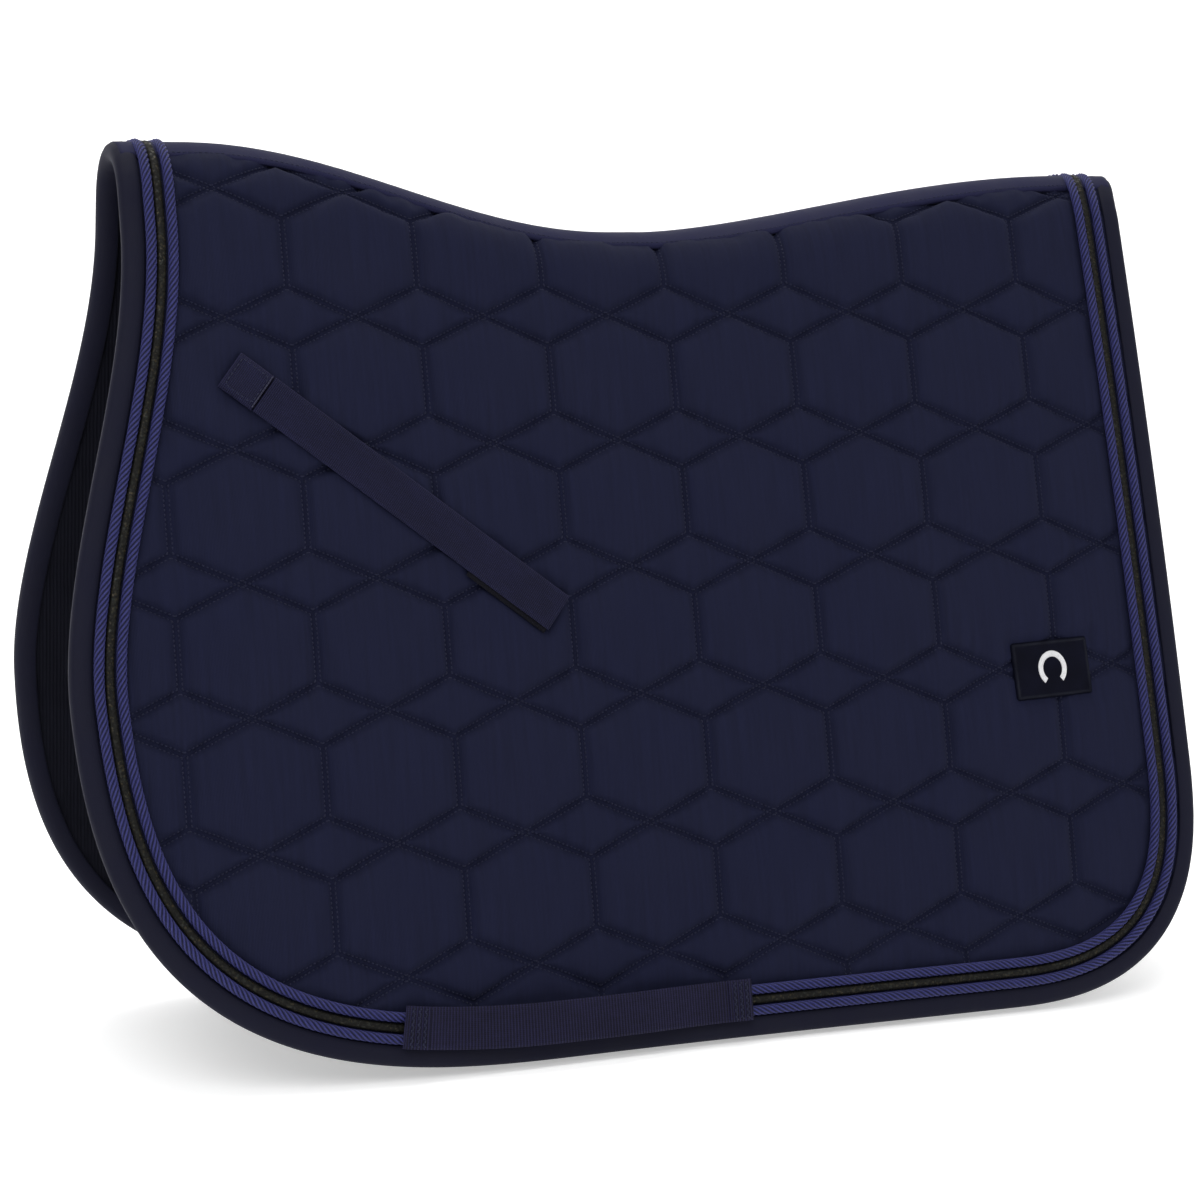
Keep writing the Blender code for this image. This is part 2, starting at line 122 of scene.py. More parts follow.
def drape(x, depth, lift, side):
    """Draped points, as an array whose last axis is x, y, z."""
    x = np.asarray(x, float)
    out, drop, angle = section(np.asarray(depth, float) + spine_height(x))
    out = out + lift * np.sin(angle)
    height = CROWN_HEIGHT + spine_height(x) - drop + lift * np.cos(angle)
    return np.stack(np.broadcast_arrays(x, side * out, height), -1)


def outward(x, depth, side):
    """The flap's outward direction at pattern points."""
    angle = section(np.asarray(depth, float) + spine_height(x))[2]
    return np.stack(np.broadcast_arrays(0 * angle, side * np.sin(angle), np.cos(angle)), -1)


def smooth_step(value):
    value = np.clip(value, 0, 1)
    return value * value * (3 - 2 * value)


def about(centre, angle, along, over):
    """x and depth of places given along and across a line that is turned about its centre."""
    x = centre[0] + along * math.cos(angle) - over * math.sin(angle)
    depth = centre[1] + along * math.sin(angle) + over * math.cos(angle)
    return x, depth


# ---------------------------------------------------------------- the flap's outline


def corner_reach(depth, corner):
    _, height, exponent = corner
    share = np.clip((depth - (FLAP_DEPTH - height)) / height, 0, 1)
    return (1 - share**exponent) ** (1 / exponent)


def front_edge(depth):
    flare = FRONT_FLARE * smooth_step((depth - FLARE_START) / FLARE_LENGTH)
    return SPINE_FRONT - flare + FRONT_CORNER[0] * (1 - corner_reach(depth, FRONT_CORNER))


def rear_edge(depth):
    flare = REAR_FLARE * np.clip(depth / (FLAP_DEPTH - REAR_CORNER[1]), 0, 1)
    peak = REAR_PEAK * (1 - smooth_step((depth + CANTLE_RISE) / REAR_PEAK_ARC))
    return SPINE_REAR + flare + peak - REAR_CORNER[0] * (1 - corner_reach(depth, REAR_CORNER))


def outline():
    """Dense points of the flap's edge, from the front of the spine round to its rear."""
    turn = np.sin(math.pi / 2 * np.linspace(0, 1, 400))
    depth = -WITHERS_RISE + (FLAP_DEPTH + WITHERS_RISE) * turn
    front = np.stack([front_edge(depth), depth], -1)
    rear = np.stack([rear_edge(depth), depth], -1)
    share = np.linspace(0, 1, 60)[1:-1, None]
    between = front[-1] + (rear[-1] - front[-1]) * share
    return np.concatenate([front, between, rear[::-1]])


EDGE = outline()

# Points measured against the edge at a time, to bound the memory used
EDGE_BATCH = 2000


def along_of(path):
    """Unit directions along a path."""
    step = np.gradient(path, axis=0)
    return step / np.linalg.norm(step, axis=-1, keepdims=True)


def inset_path(distance, start_arc):
    """The outline moved in by this distance, cut off where it comes within start_arc of the spine line."""
    along = along_of(EDGE)
    moved = EDGE + distance * np.stack([along[:, 1], -along[:, 0]], -1)
    return moved[moved[:, 1] + spine_height(moved[:, 0]) >= start_arc]


def setback(x):
    """How much further in from the edge the trim sits."""
    return REAR_SETBACK * smooth_step((x - SETBACK_START) / (SETBACK_END - SETBACK_START))


def resample(path, step):
    """The same path with evenly spaced points about step apart, and the distances along it."""
    length = np.concatenate([[0], np.cumsum(np.linalg.norm(np.diff(path, axis=0), axis=1))])
    count = max(int(round(length[-1] / step)), 2) + 1
    at = np.linspace(0, length[-1], count)
    return np.stack([np.interp(at, length, path[:, k]) for k in range(path.shape[1])], -1), at


def edge_distance(points):
    """How far inside the flap's edge each pattern point is; negative outside."""
    a, b = EDGE[:-1], EDGE[1:]
    ab = b - a
    result = np.empty(len(points))
    for start in range(0, len(points), EDGE_BATCH):
        p = points[start : start + EDGE_BATCH, None, :]
        share = np.clip(((p - a) * ab).sum(-1) / (ab**2).sum(-1), 0, 1)
        gap = p - (a + share[..., None] * ab)
        distance = np.sqrt((gap**2).sum(-1))
        nearest = distance.argmin(1)
        rows = np.arange(len(nearest))
        cross = ab[nearest, 0] * gap[rows, nearest, 1] - ab[nearest, 1] * gap[rows, nearest, 0]
        result[start : start + EDGE_BATCH] = distance[rows, nearest] * np.where(cross < 0, 1, -1)
    return result


# ---------------------------------------------------------------- meshes


def new_piece(name, points, faces, material, uv=None):
    """A smooth mesh object, with its faces turned outwards if it is closed."""
    points = np.asarray(points, float).reshape(-1, 3)
    mesh = bpy.data.meshes.new(name)
    mesh.from_pydata(points, [], faces if isinstance(faces, list) else faces.tolist())
    mesh.update()
    mesh.calc_loop_triangles()
    tris = np.empty(len(mesh.loop_triangles) * 3, np.int32)
    mesh.loop_triangles.foreach_get("vertices", tris)
    corner = points[tris.reshape(-1, 3)]
    volume = (corner[:, 0] * np.cross(corner[:, 1], corner[:, 2])).sum()
    if volume < 0:
        mesh.flip_normals()
    if uv is not None:
        loops = np.empty(len(mesh.loops), np.int32)
        mesh.loops.foreach_get("vertex_index", loops)
        layer = mesh.uv_layers.new(name="cloth")
        layer.data.foreach_set("uv", np.asarray(uv, np.float32).reshape(-1, 2)[loops].ravel())
    mesh.polygons.foreach_set("use_smooth", np.ones(len(mesh.polygons), bool))
    obj = bpy.data.objects.new(name, mesh)
    bpy.context.scene.collection.objects.link(obj)
    mesh.materials.append(material)
    return obj


def shell_faces(rows, cols, offset=0):
    """Quads of a rows by cols grid of points."""
    index = np.arange(rows * cols).reshape(rows, cols) + offset
    return np.stack([index[:-1, :-1], index[:-1, 1:], index[1:, 1:], index[1:, :-1]], -1).reshape(-1, 4)


def slab(name, top, bottom, material, uv):
    """A closed sheet between two grids of points, whose edges are joined."""
    rows, cols = top.shape[:2]
    count = rows * cols
    index = np.arange(count).reshape(rows, cols)
    loop = np.concatenate([index[0, :-1], index[:-1, -1], index[-1, :0:-1], index[:0:-1, 0]])
    nxt = np.roll(loop, -1)
    sides = np.stack([loop, loop + count, nxt + count, nxt], -1)
    faces = np.concatenate([shell_faces(rows, cols), shell_faces(rows, cols, count)[:, ::-1], sides])
    points = np.concatenate([top.reshape(-1, 3), bottom.reshape(-1, 3)])
    uv = np.asarray(uv).reshape(-1, 2)
    return new_piece(name, points, faces, material, np.concatenate([uv, uv]))


def ring_tube(name, rings, material, uv):
    """A closed tube through rings of points (stations by points round), with pointed ends."""
    stations, around = rings.shape[:2]
    index = np.arange(stations * around).reshape(stations, around)
    nxt = np.roll(index, -1, axis=1)
    quads = np.stack([index[:-1], nxt[:-1], nxt[1:], index[1:]], -1).reshape(-1, 4)
    first, last = stations * around, stations * around + 1
    points = np.concatenate([rings.reshape(-1, 3), [rings[0].mean(0), rings[-1].mean(0)]])
    faces = quads.tolist()
    faces += [[first, int(nxt[0, j]), int(index[0, j])] for j in range(around)]
    faces += [[last, int(index[-1, j]), int(nxt[-1, j])] for j in range(around)]
    uv = np.concatenate([uv.reshape(-1, 2), uv[0, :1], uv[-1, :1]])
    return new_piece(name, points, faces, material, uv)


# ---------------------------------------------------------------- materials


class Nodes:
    """A short way to write a node material."""

    def __init__(self, name):
        self.material = bpy.data.materials.new(name)
        self.material.use_nodes = True
        self.tree = self.material.node_tree
        self.shader = self.tree.nodes["Principled BSDF"]

    def link(self, source, target):
        if isinstance(source, bpy.types.NodeSocket):
            self.tree.links.new(source, target)
        elif hasattr(source, "__len__") and len(target.default_value) == 4 and len(source) == 3:
            target.default_value = (*source, 1)
        else:
            target.default_value = source

    def node(self, kind, inputs=None, **settings):
        node = self.tree.nodes.new(kind)
        for key, value in settings.items():
            setattr(node, key, value)
        for key, value in (inputs or {}).items():
            self.link(value, node.inputs[key])
        return node

    def uv(self, scale=(1, 1), angle=0.0):
        source = self.node("ShaderNodeUVMap", uv_map="cloth").outputs[0]
        mapping = self.node("ShaderNodeMapping", {"Vector": source, "Rotation": (0, 0, angle)})
        mapping.inputs["Scale"].default_value = (scale[0], scale[1], 1)
        return mapping.outputs[0]

    def split(self, vector):
        out = self.node("ShaderNodeSeparateXYZ", {0: vector}).outputs
        return out[0], out[1]

    def math(self, operation, a, b=None, c=None):
        inputs = {0: a}
        if b is not None:
            inputs[1] = b
        if c is not None:
            inputs[2] = c
        return self.node("ShaderNodeMath", inputs, operation=operation).outputs[0]

    def noise(self, vector, scale, detail=2.0, roughness=0.5):
        inputs = {"Vector": vector, "Scale": scale, "Detail": detail, "Roughness": roughness}
        return self.node("ShaderNodeTexNoise", inputs).outputs["Fac"]

    def ramp(self, factor, low, high, a=0.0, b=1.0):
        inputs = {"Value": factor, "From Min": low, "From Max": high, "To Min": a, "To Max": b}
        return self.node("ShaderNodeMapRange", inputs).outputs[0]

    def mix(self, factor, a, b):
        node = self.node("ShaderNodeMix", data_type="RGBA")
        self.link(factor, node.inputs[0])
        self.link(a, node.inputs[6])
        self.link(b, node.inputs[7])
        return node.outputs[2]

    def wave(self, phase):
        """0 to 1 and back once for each unit of phase."""
        turned = self.math("MULTIPLY", phase, 2 * math.pi)
        return self.math("MULTIPLY_ADD", self.math("SINE", turned), 0.5, 0.5)

    def finish(self, color, roughness, height=None, depth=0.0003, strength=1.0, sheen=0.0, tint=None,
               metallic=None, specular=0.5):
        self.link(color, self.shader.inputs["Base Color"])
        self.link(roughness, self.shader.inputs["Roughness"])
        self.shader.inputs["Sheen Weight"].default_value = sheen
        self.shader.inputs["Sheen Roughness"].default_value = 0.45
        self.shader.inputs["Specular IOR Level"].default_value = specular
        if tint is not None:
            self.shader.inputs["Sheen Tint"].default_value = (*tint, 1)
        if metallic is not None:
            self.link(metallic, self.shader.inputs["Metallic"])
        if height is not None:
            bump = self.node("ShaderNodeBump", {"Height": height, "Distance": depth, "Strength": strength})
            self.link(bump.outputs[0], self.shader.inputs["Normal"])
        return self.material


def scaled(color, factor):
    return tuple(c * factor for c in color)


def woven(name, color, across, along, depth, sheen, rough=0.8, tint=(0.55, 0.58, 0.9), rib=0.6, fade=0.25,
          specular=0.3):
    """Plain woven cloth: upright ribs across apart, and weft threads along apart, with soft blotches."""
    n = Nodes(name)
    u, v = n.split(n.uv())
    ribs = n.wave(n.math("DIVIDE", u, across))
    weft = n.wave(n.math("DIVIDE", v, along))
    weave = n.math("MULTIPLY_ADD", ribs, rib, n.math("MULTIPLY", weft, 1 - rib))
    broad = n.noise(n.uv(), 14.0, 3.0)
    fine = n.noise(n.uv((1, 0.25)), 900.0, 2.0)
    slub = n.noise(n.uv((3.0, 0.12)), 160.0, 2.0)
    tone = n.math("MULTIPLY_ADD", broad, 0.14, n.math("MULTIPLY", slub, 0.86))
    tone = n.math("MULTIPLY_ADD", weave, 0.28, n.math("MULTIPLY", tone, 0.9))
    base = n.mix(n.ramp(tone, 0.25, 0.85), scaled(color, 1 - fade), scaled(color, 1 + fade))
    height = n.math("MULTIPLY_ADD", fine, 0.35, weave)
    roughness = n.ramp(n.math("ADD", broad, fine), 0.6, 1.4, rough - 0.08, rough + 0.08)
    return n.finish(base, roughness, height, depth, 0.8, sheen, tint, specular=specular)


def twill(name, color, pitch, depth, sheen, rough=0.7, tint=(0.6, 0.6, 0.9), fade=0.22, specular=0.35):
    """Diagonal twill tape, with u along the tape and v across it."""
    n = Nodes(name)
    u, v = n.split(n.uv())
    phase = n.math("DIVIDE", n.math("ADD", u, v), pitch)
    lines = n.wave(phase)
    cross = n.wave(n.math("DIVIDE", v, pitch * 1.1))
    weave = n.math("MULTIPLY_ADD", lines, 0.7, n.math("MULTIPLY", cross, 0.3))
    broad = n.noise(n.uv(), 30.0, 3.0)
    fine = n.noise(n.uv(), 1400.0, 2.0)
    tone = n.math("MULTIPLY_ADD", broad, 0.6, n.math("MULTIPLY", weave, 0.4))
    base = n.mix(n.ramp(tone, 0.2, 0.85), scaled(color, 1 - fade), scaled(color, 1 + fade))
    height = n.math("MULTIPLY_ADD", fine, 0.3, weave)
    roughness = n.ramp(broad, 0.3, 0.7, rough - 0.07, rough + 0.07)
    return n.finish(base, roughness, height, depth, 0.8, sheen, tint, specular=specular)


def rope(name, color):
    """Twisted cord: u runs along a strand, v counts strands round the cord."""
    n = Nodes(name)
    u, v = n.split(n.uv())
    strand = n.math("FRACT", v)
    from_groove = n.math("SUBTRACT", 0.5, n.math("ABSOLUTE", n.math("SUBTRACT", strand, 0.5)))
    # painted shade: the cord is coloured nearly black in the grooves between its strands, rising to full
    # colour on the strands' tops (lit)
    lit = n.ramp(from_groove, 0.10, 0.42)
    yarns = n.wave(n.math("MULTIPLY_ADD", u, 260.0, n.math("MULTIPLY", v, 4.6)))
    fuzz = n.noise(n.uv((300.0, 2.0)), 3.0, 3.0)
    tone = n.math("MULTIPLY_ADD", fuzz, 0.55, n.math("MULTIPLY", yarns, 0.42))
    bright = n.mix(n.ramp(tone, 0.15, 0.75), scaled(color, 0.40), scaled(color, 1.75))
    base = n.mix(lit, (color[0] * 0.09, color[1] * 0.10, color[2] * 0.22), bright)
    height = n.math("MULTIPLY_ADD", yarns, 0.5, n.math("MULTIPLY", fuzz, 0.6))
    roughness = n.ramp(fuzz, 0.3, 0.7, 0.42, 0.62)
    return n.finish(base, roughness, height, 0.00025, 0.7, 0.06, (0.6, 0.6, 1.0), specular=0.22)


def glitter(name):
    """Black braid with small bright flecks in gold, copper and blue-grey."""
    n = Nodes(name)
    cells = n.node("ShaderNodeTexVoronoi", {"Vector": n.uv(), "Scale": 950.0}, feature="F1")
    r, g = n.split(cells.outputs["Color"])
    fleck = n.ramp(r, 0.74, 0.92)
    fuzz = n.noise(n.uv(), 700.0, 3.0)
    dark = n.mix(n.ramp(fuzz, 0.3, 0.7), (0.0015, 0.0014, 0.0013), (0.0070, 0.0066, 0.0050))
    gold = n.mix(g, (0.036, 0.028, 0.015), (0.015, 0.019, 0.017))
    base = n.mix(fleck, dark, gold)
    roughness = n.ramp(r, 0.5, 0.9, 0.75, 0.32)
    height = n.math("MULTIPLY_ADD", fuzz, 0.7, n.math("MULTIPLY", r, 0.5))
    metal = n.math("MULTIPLY", fleck, 0.4)
    tint = (0.8, 0.75, 0.6)
    return n.finish(base, roughness, height, 0.0003, 0.8, 0.02, tint, metallic=metal, specular=0.2)


def ribbed_webbing(name, color, pitch):
    """Webbing with ribs across it; u runs along the webbing and v across, both in metres."""
    n = Nodes(name)
    u, v = n.split(n.uv())
    rib = n.wave(n.math("DIVIDE", u, pitch))
    threads = n.wave(n.math("DIVIDE", v, 0.0011))
    rows = n.noise(n.uv((1.0, 9.0)), 75.0, 2.0)
    fine = n.noise(n.uv(), 1500.0, 2.0)
    broad = n.noise(n.uv(), 26.0, 3.0)
    tone = n.math("MULTIPLY_ADD", rib, 0.50, n.math("MULTIPLY", threads, 0.16))
    tone = n.math("ADD", tone, n.math("MULTIPLY_ADD", rows, 0.34, n.math("MULTIPLY", broad, 0.25)))
    base = n.mix(n.ramp(tone, 0.30, 1.0), scaled(color, 0.26), scaled(color, 1.95))
    height = n.math("MULTIPLY_ADD", threads, 0.35, n.math("MULTIPLY", fine, 0.3))
    height = n.math("MULTIPLY_ADD", rib, 0.6, height)
    roughness = n.ramp(fine, 0.3, 0.7, 0.58, 0.78)
    return n.finish(base, roughness, height, 0.00035, 0.8, 0.04, (0.65, 0.6, 0.95), specular=0.14)


def fuzzy(name, color):
    """Hook-and-loop pile."""
    n = Nodes(name)
    cells = n.node("ShaderNodeTexVoronoi", {"Vector": n.uv(), "Scale": 1100.0}, feature="F1")
    fuzz = n.noise(n.uv(), 900.0, 3.0)
    base = n.mix(n.ramp(fuzz, 0.3, 0.7), scaled(color, 0.5), scaled(color, 1.8))
    height = n.math("MULTIPLY_ADD", cells.outputs["Distance"], 0.8, fuzz)
    roughness = n.ramp(fuzz, 0.3, 0.7, 0.8, 0.95)
    return n.finish(base, roughness, height, 0.0006, 1.0, 0.05, (0.6, 0.6, 0.7), specular=0.1)


def embossed(name, color):
    """Soft rubbery patch with a fine grain."""
    n = Nodes(name)
    grain = n.noise(n.uv(), 900.0, 3.0, 0.6)
    broad = n.noise(n.uv(), 60.0, 2.0)
    base = n.mix(n.ramp(broad, 0.3, 0.7), scaled(color, 0.75), scaled(color, 1.35))
    u, v = n.split(n.uv())
    # painted highlight: a thin band along the raised frame line is coloured lighter than the patch, patchy
    # with the broad noise
    across = n.math("SUBTRACT", n.math("ABSOLUTE", u), BADGE_SIZE[0] / 2 - FRAME_INSET)
    down = n.math("SUBTRACT", n.math("ABSOLUTE", v), BADGE_SIZE[1] / 2 - FRAME_INSET)
    off_frame = n.math("ABSOLUTE", n.math("MAXIMUM", across, down))
    frame_line = n.math("MULTIPLY", n.ramp(off_frame, 0.0002, 0.0013, 1.0, 0.0), n.ramp(broad, 0.25, 0.6))
    base = n.mix(frame_line, base, (0.0085, 0.0095, 0.0150))
    roughness = n.ramp(grain, 0.3, 0.7, 0.50, 0.68)
    return n.finish(base, roughness, grain, 0.00015, 0.5, 0.0, specular=0.05)


def embroidered(name, color):
    """Raised satin stitch, its threads across the shape."""
    n = Nodes(name)
    u, _ = n.split(n.uv())
    threads = n.wave(n.math("DIVIDE", u, 0.00045))
    fuzz = n.noise(n.uv(), 2500.0, 2.0)
    base = n.mix(threads, scaled(color, 0.72), color)
    height = n.math("MULTIPLY_ADD", threads, 0.8, n.math("MULTIPLY", fuzz, 0.3))
    return n.finish(base, n.ramp(fuzz, 0.3, 0.7, 0.35, 0.55), height, 0.00025, 0.8, 0.2)


def thread(name, color):
    n = Nodes(name)
    fuzz = n.noise(n.uv(), 1800.0, 2.0)
    base = n.mix(n.ramp(fuzz, 0.3, 0.7), scaled(color, 0.7), scaled(color, 1.4))
    roughness = n.ramp(fuzz, 0.3, 0.7, 0.45, 0.6)
    return n.finish(base, roughness, fuzz, 0.0001, 0.5, 0.05, (0.7, 0.7, 1.0), specular=0.2)


QUILT_COLOR = (0.0062, 0.0074, 0.0226)
mat = {
    "shell": woven("quilted_cloth", QUILT_COLOR, 0.00085, 0.00050, 0.00010, 0.03, specular=0.10),
    "lining": woven("ribbed_lining", (0.0043, 0.0045, 0.0083), 0.0022, 0.0009, 0.00045, 0.02, 0.88,
                    rib=0.85, specular=0.08),
    "binding": twill("binding_tape", (0.0049, 0.0052, 0.0145), 0.0011, 0.00009, 0.03, specular=0.12),
    "tape": twill("spine_tape", (0.0085, 0.0090, 0.0330), 0.0014, 0.00010, 0.04, 0.72, specular=0.12),
    "cord": rope("twisted_cord", (0.0235, 0.0255, 0.116)),
    "braid": glitter("glitter_braid"),
    "webbing": ribbed_webbing("ribbed_webbing", (0.0074, 0.0068, 0.0240), RIB_PITCH),
    "strap": ribbed_webbing("strap_webbing", (0.0064, 0.0066, 0.0250), STRAP_RIB_PITCH),
    "hook": fuzzy("hook_and_loop", (0.0035, 0.0035, 0.0060)),
    "badge": embossed("badge_rubber", (0.0019, 0.0022, 0.0065)),
    "emblem": embroidered("white_embroidery", (0.80, 0.80, 0.82)),
    "thread": thread("navy_thread", (0.0105, 0.0122, 0.0320)),
    "light_thread": thread("light_thread", (0.030, 0.030, 0.056)),
}


# ---------------------------------------------------------------- quilting


# Grid cells in half a diamond each way, and along a link
CELLS = 7
LINK_CELLS = 8

# Rows and columns of diamonds, counted so that they reach past the flap on every side
DIAMOND_ROWS, DIAMOND_COLUMNS = range(-1, 8), range(-2, 10)

# The simulation's cloth is this much larger than the pad, grows by this share and is blown up
SIM_SCALE, SIM_STIFFNESS, SIM_GROW, SIM_PRESSURE, SIM_FRAMES = 10.0, 15.0, 0.03, 7.0, 20

# Highest puff; the seam's extra depth and its half width; the cloth's ripple beside a seam
PUFF_CAP = 0.0052
SEAM_DEPTH, SEAM_HALF_WIDTH = 0.0036, 0.0031
RIPPLE_HEIGHT, RIPPLE_REACH = 0.00016, 0.006

# The shell's margins to the edge and the spine line, and the flat border under the trim and the tape
SHELL_MARGIN, SHELL_ARC, TRIM_BORDER, TAPE_BORDER = 0.0030, 0.012, 0.029, 0.023


def quilt_axes(refine):
    """Column x and row depth values of a grid whose lines and diagonals follow the seams."""
    cells, link_cells = CELLS * refine, LINK_CELLS * refine
    step = DIAMOND_HALF[0] / cells
    first = CROSSING[0] - 5.5 * 2 * DIAMOND_HALF[0]
    columns = first + step * np.arange(cells, 19 * cells + 1)
    diamond = np.linspace(-DIAMOND_HALF[1], DIAMOND_HALF[1], 2 * cells + 1)
    link = np.linspace(DIAMOND_HALF[1], ROW_PITCH - DIAMOND_HALF[1], link_cells + 1)[1:-1]
    rows = []
    for r in DIAMOND_ROWS:
        centre = CROSSING[1] + ROW_PITCH * (r - 3.5)
        rows += list(centre + diamond) + list(centre + link)
    return columns, np.array(rows[: len(rows) - len(link)])


def seam_distance(x, depth):
    """Distance to the nearest quilting seam, on the endless pattern."""
    width = 2 * DIAMOND_HALF[0]
    u = (x - CROSSING[0]) / width + 0.5
    a = np.abs(u - np.round(u)) * width
    v = (depth - CROSSING[1]) / ROW_PITCH + 0.5
    b = np.abs(v - np.round(v)) * ROW_PITCH
    p, q = DIAMOND_HALF
    share = np.clip((a * p + b * q) / (p * p + q * q), 0, 1)
    to_diamond = np.hypot(a - share * p, b - share * q)
    to_link = np.hypot(a - p, np.maximum(q - b, 0))
    return np.minimum(to_diamond, to_link)


def in_patch(x, depth, centre, size, angle, soft):
    """1 inside a rectangle on the pattern, falling to 0 over the distance soft outside it."""
    along = (x - centre[0]) * math.cos(angle) + (depth - centre[1]) * math.sin(angle)
    over = -(x - centre[0]) * math.sin(angle) + (depth - centre[1]) * math.cos(angle)
    gap = np.hypot(np.maximum(np.abs(along) - size[0] / 2, 0), np.maximum(np.abs(over) - size[1] / 2, 0))
    return 1 - smooth_step(gap / soft)


def pressed(lift, share, cap):
    """The lift held down to cap where share is 1."""
    return lift * (1 - share) + np.minimum(lift, cap) * share


def along_strap(distance):
    """Pattern point on the strap's middle line, this far from its hinge."""
    return about(STRAP_HINGE, STRAP_ANGLE, distance, 0)


def puffed(columns, rows, kept, pinned):
    """Heights and slides of the cloth when it is blown up between its seams.
    """
    grid_x, grid_d = np.meshgrid(columns, rows)
    index = numbered(kept)
    quads = np.stack([index[:-1, :-1], index[:-1, 1:], index[1:, 1:], index[1:, :-1]], -1).reshape(-1, 4)
    quads = quads[(quads >= 0).all(1)]
    flat = np.stack([grid_x[kept], -grid_d[kept], 0 * grid_x[kept]], -1) * SIM_SCALE
    cloth = new_piece("quilting_simulation", flat, quads, mat["shell"])
    normal = cloth.data.polygons[0].normal
    if normal.z < 0:
        cloth.data.flip_normals()
    pins = cloth.vertex_groups.new(name="pins")
    pins.add([int(i) for i in index[pinned & kept]], 1.0, "REPLACE")
    modifier = cloth.modifiers.new("cloth", "CLOTH")
    settings = modifier.settings
    settings.quality = 5
    settings.vertex_group_mass = "pins"
    settings.mass = 0.3
    settings.tension_stiffness = SIM_STIFFNESS
    settings.compression_stiffness = SIM_STIFFNESS
    settings.shear_stiffness = SIM_STIFFNESS / 3
    settings.bending_stiffness = 0.5
    settings.shrink_min = -SIM_GROW
    settings.shrink_max = -SIM_GROW
    settings.use_pressure = True
    settings.uniform_pressure_force = SIM_PRESSURE
    settings.effector_weights.gravity = 0
    modifier.collision_settings.use_collision = False
    modifier.point_cache.frame_start = 1
    modifier.point_cache.frame_end = SIM_FRAMES
    scene = bpy.context.scene
    for frame_number in range(1, SIM_FRAMES + 1):
        scene.frame_set(frame_number)
    evaluated = cloth.evaluated_get(bpy.context.evaluated_depsgraph_get())
    moved = np.empty(len(flat) * 3)
    evaluated.data.vertices.foreach_get("co", moved)
    moved = (moved.reshape(-1, 3) - flat) / SIM_SCALE
    scene.frame_set(1)
    bpy.data.objects.remove(cloth, do_unlink=True)
    fields = []
    for k, sign in ((2, 1), (0, 1), (1, -1)):
        field = np.zeros(grid_x.shape)
        field[kept] = sign * moved[:, k]
        fields.append(field)
    return tuple(fields)




def upsample(field):
    """Twice as many cells each way, with straight lines between the old points."""
    rows, cols = field.shape
    wide = np.empty((rows, 2 * cols - 1))
    wide[:, ::2] = field
    wide[:, 1::2] = (field[:, 1:] + field[:, :-1]) / 2
    tall = np.empty((2 * rows - 1, 2 * cols - 1))
    tall[::2] = wide
    tall[1::2] = (wide[1:] + wide[:-1]) / 2
    return tall


def soften(field, fixed, passes):
    """The field averaged with its neighbours, except where it is fixed."""
    for _ in range(passes):
        beside = np.roll(field, 1, 0) + np.roll(field, -1, 0) + np.roll(field, 1, 1) + np.roll(field, -1, 1)
        mean = beside / 4
        field = np.where(fixed, field, 0.5 * field + 0.5 * mean)
    return field


def corners_of(cell):
    """Grid points that belong to at least one of the kept cells."""
    rows, cols = cell.shape
    used = np.zeros((rows + 1, cols + 1), bool)
    for di in (0, 1):
        for dj in (0, 1):
            used[di : di + rows, dj : dj + cols] |= cell
    return used


def numbered(used):
    """A number for each used grid point, and -1 for the others."""
    index = -np.ones(used.shape, int)
    index[used] = np.arange(used.sum())
    return index


def make_quilting():
    """The quilting worked out once on the pattern, for both flaps."""
    columns, rows = quilt_axes(1)
    x, depth = np.meshgrid(columns, rows)
    inside = edge_distance(np.stack([x.ravel(), depth.ravel()], -1)).reshape(x.shape)
    arc = depth + spine_height(x)
    corner_kept = (inside >= SHELL_MARGIN) & (arc >= SHELL_ARC)
    cell = corner_kept[:-1, :-1] & corner_kept[:-1, 1:] & corner_kept[1:, :-1] & corner_kept[1:, 1:]
    kept = corners_of(cell)
    seam = seam_distance(x, depth)
    inner = inside - setback(x)
    pinned = (seam < 0.0004) | (inner < TRIM_BORDER) | (arc < TAPE_BORDER) | ~kept
    anchor_size = (ANCHOR_LENGTH, WEBBING_WIDTH)
    pinned |= in_patch(x, depth, along_strap(-ANCHOR_LENGTH / 2), anchor_size, STRAP_ANGLE, 0.001) > 0.5
    height, slide_x, slide_d = puffed(columns, rows, kept, pinned)
    height = PUFF_CAP * np.tanh(height / PUFF_CAP)
    fine_columns, fine_rows = quilt_axes(2)
    fine_x, fine_d = np.meshgrid(fine_columns, fine_rows)
    fine_height = upsample(height)
    fine_seam = seam_distance(fine_x, fine_d)
    on_seam = fine_seam < 0.0003
    fine_height = soften(fine_height, on_seam, 3)
    near_trim = smooth_step((upsample(inner) - 0.028) / 0.010)
    channel = SEAM_DEPTH * np.exp(-((fine_seam / SEAM_HALF_WIDTH) ** 2)) * (0.35 + 0.65 * near_trim)
    ripple = np.sin(fine_x * 610 + 2.1 * np.sin(fine_d * 95))
    ripple = ripple * np.sin(fine_d * 540 + 1.7 * np.sin(fine_x * 80))
    ripple = RIPPLE_HEIGHT * ripple * np.exp(-fine_seam / RIPPLE_REACH)
    lift = fine_height * (0.15 + 0.85 * near_trim) - channel + ripple * near_trim
    return {
        "cell": cell,
        "coarse": (x, depth, height, seam),
        "fine": (fine_x + upsample(slide_x), fine_d + upsample(slide_d), lift),
        "axes": (fine_columns, fine_rows),
    }


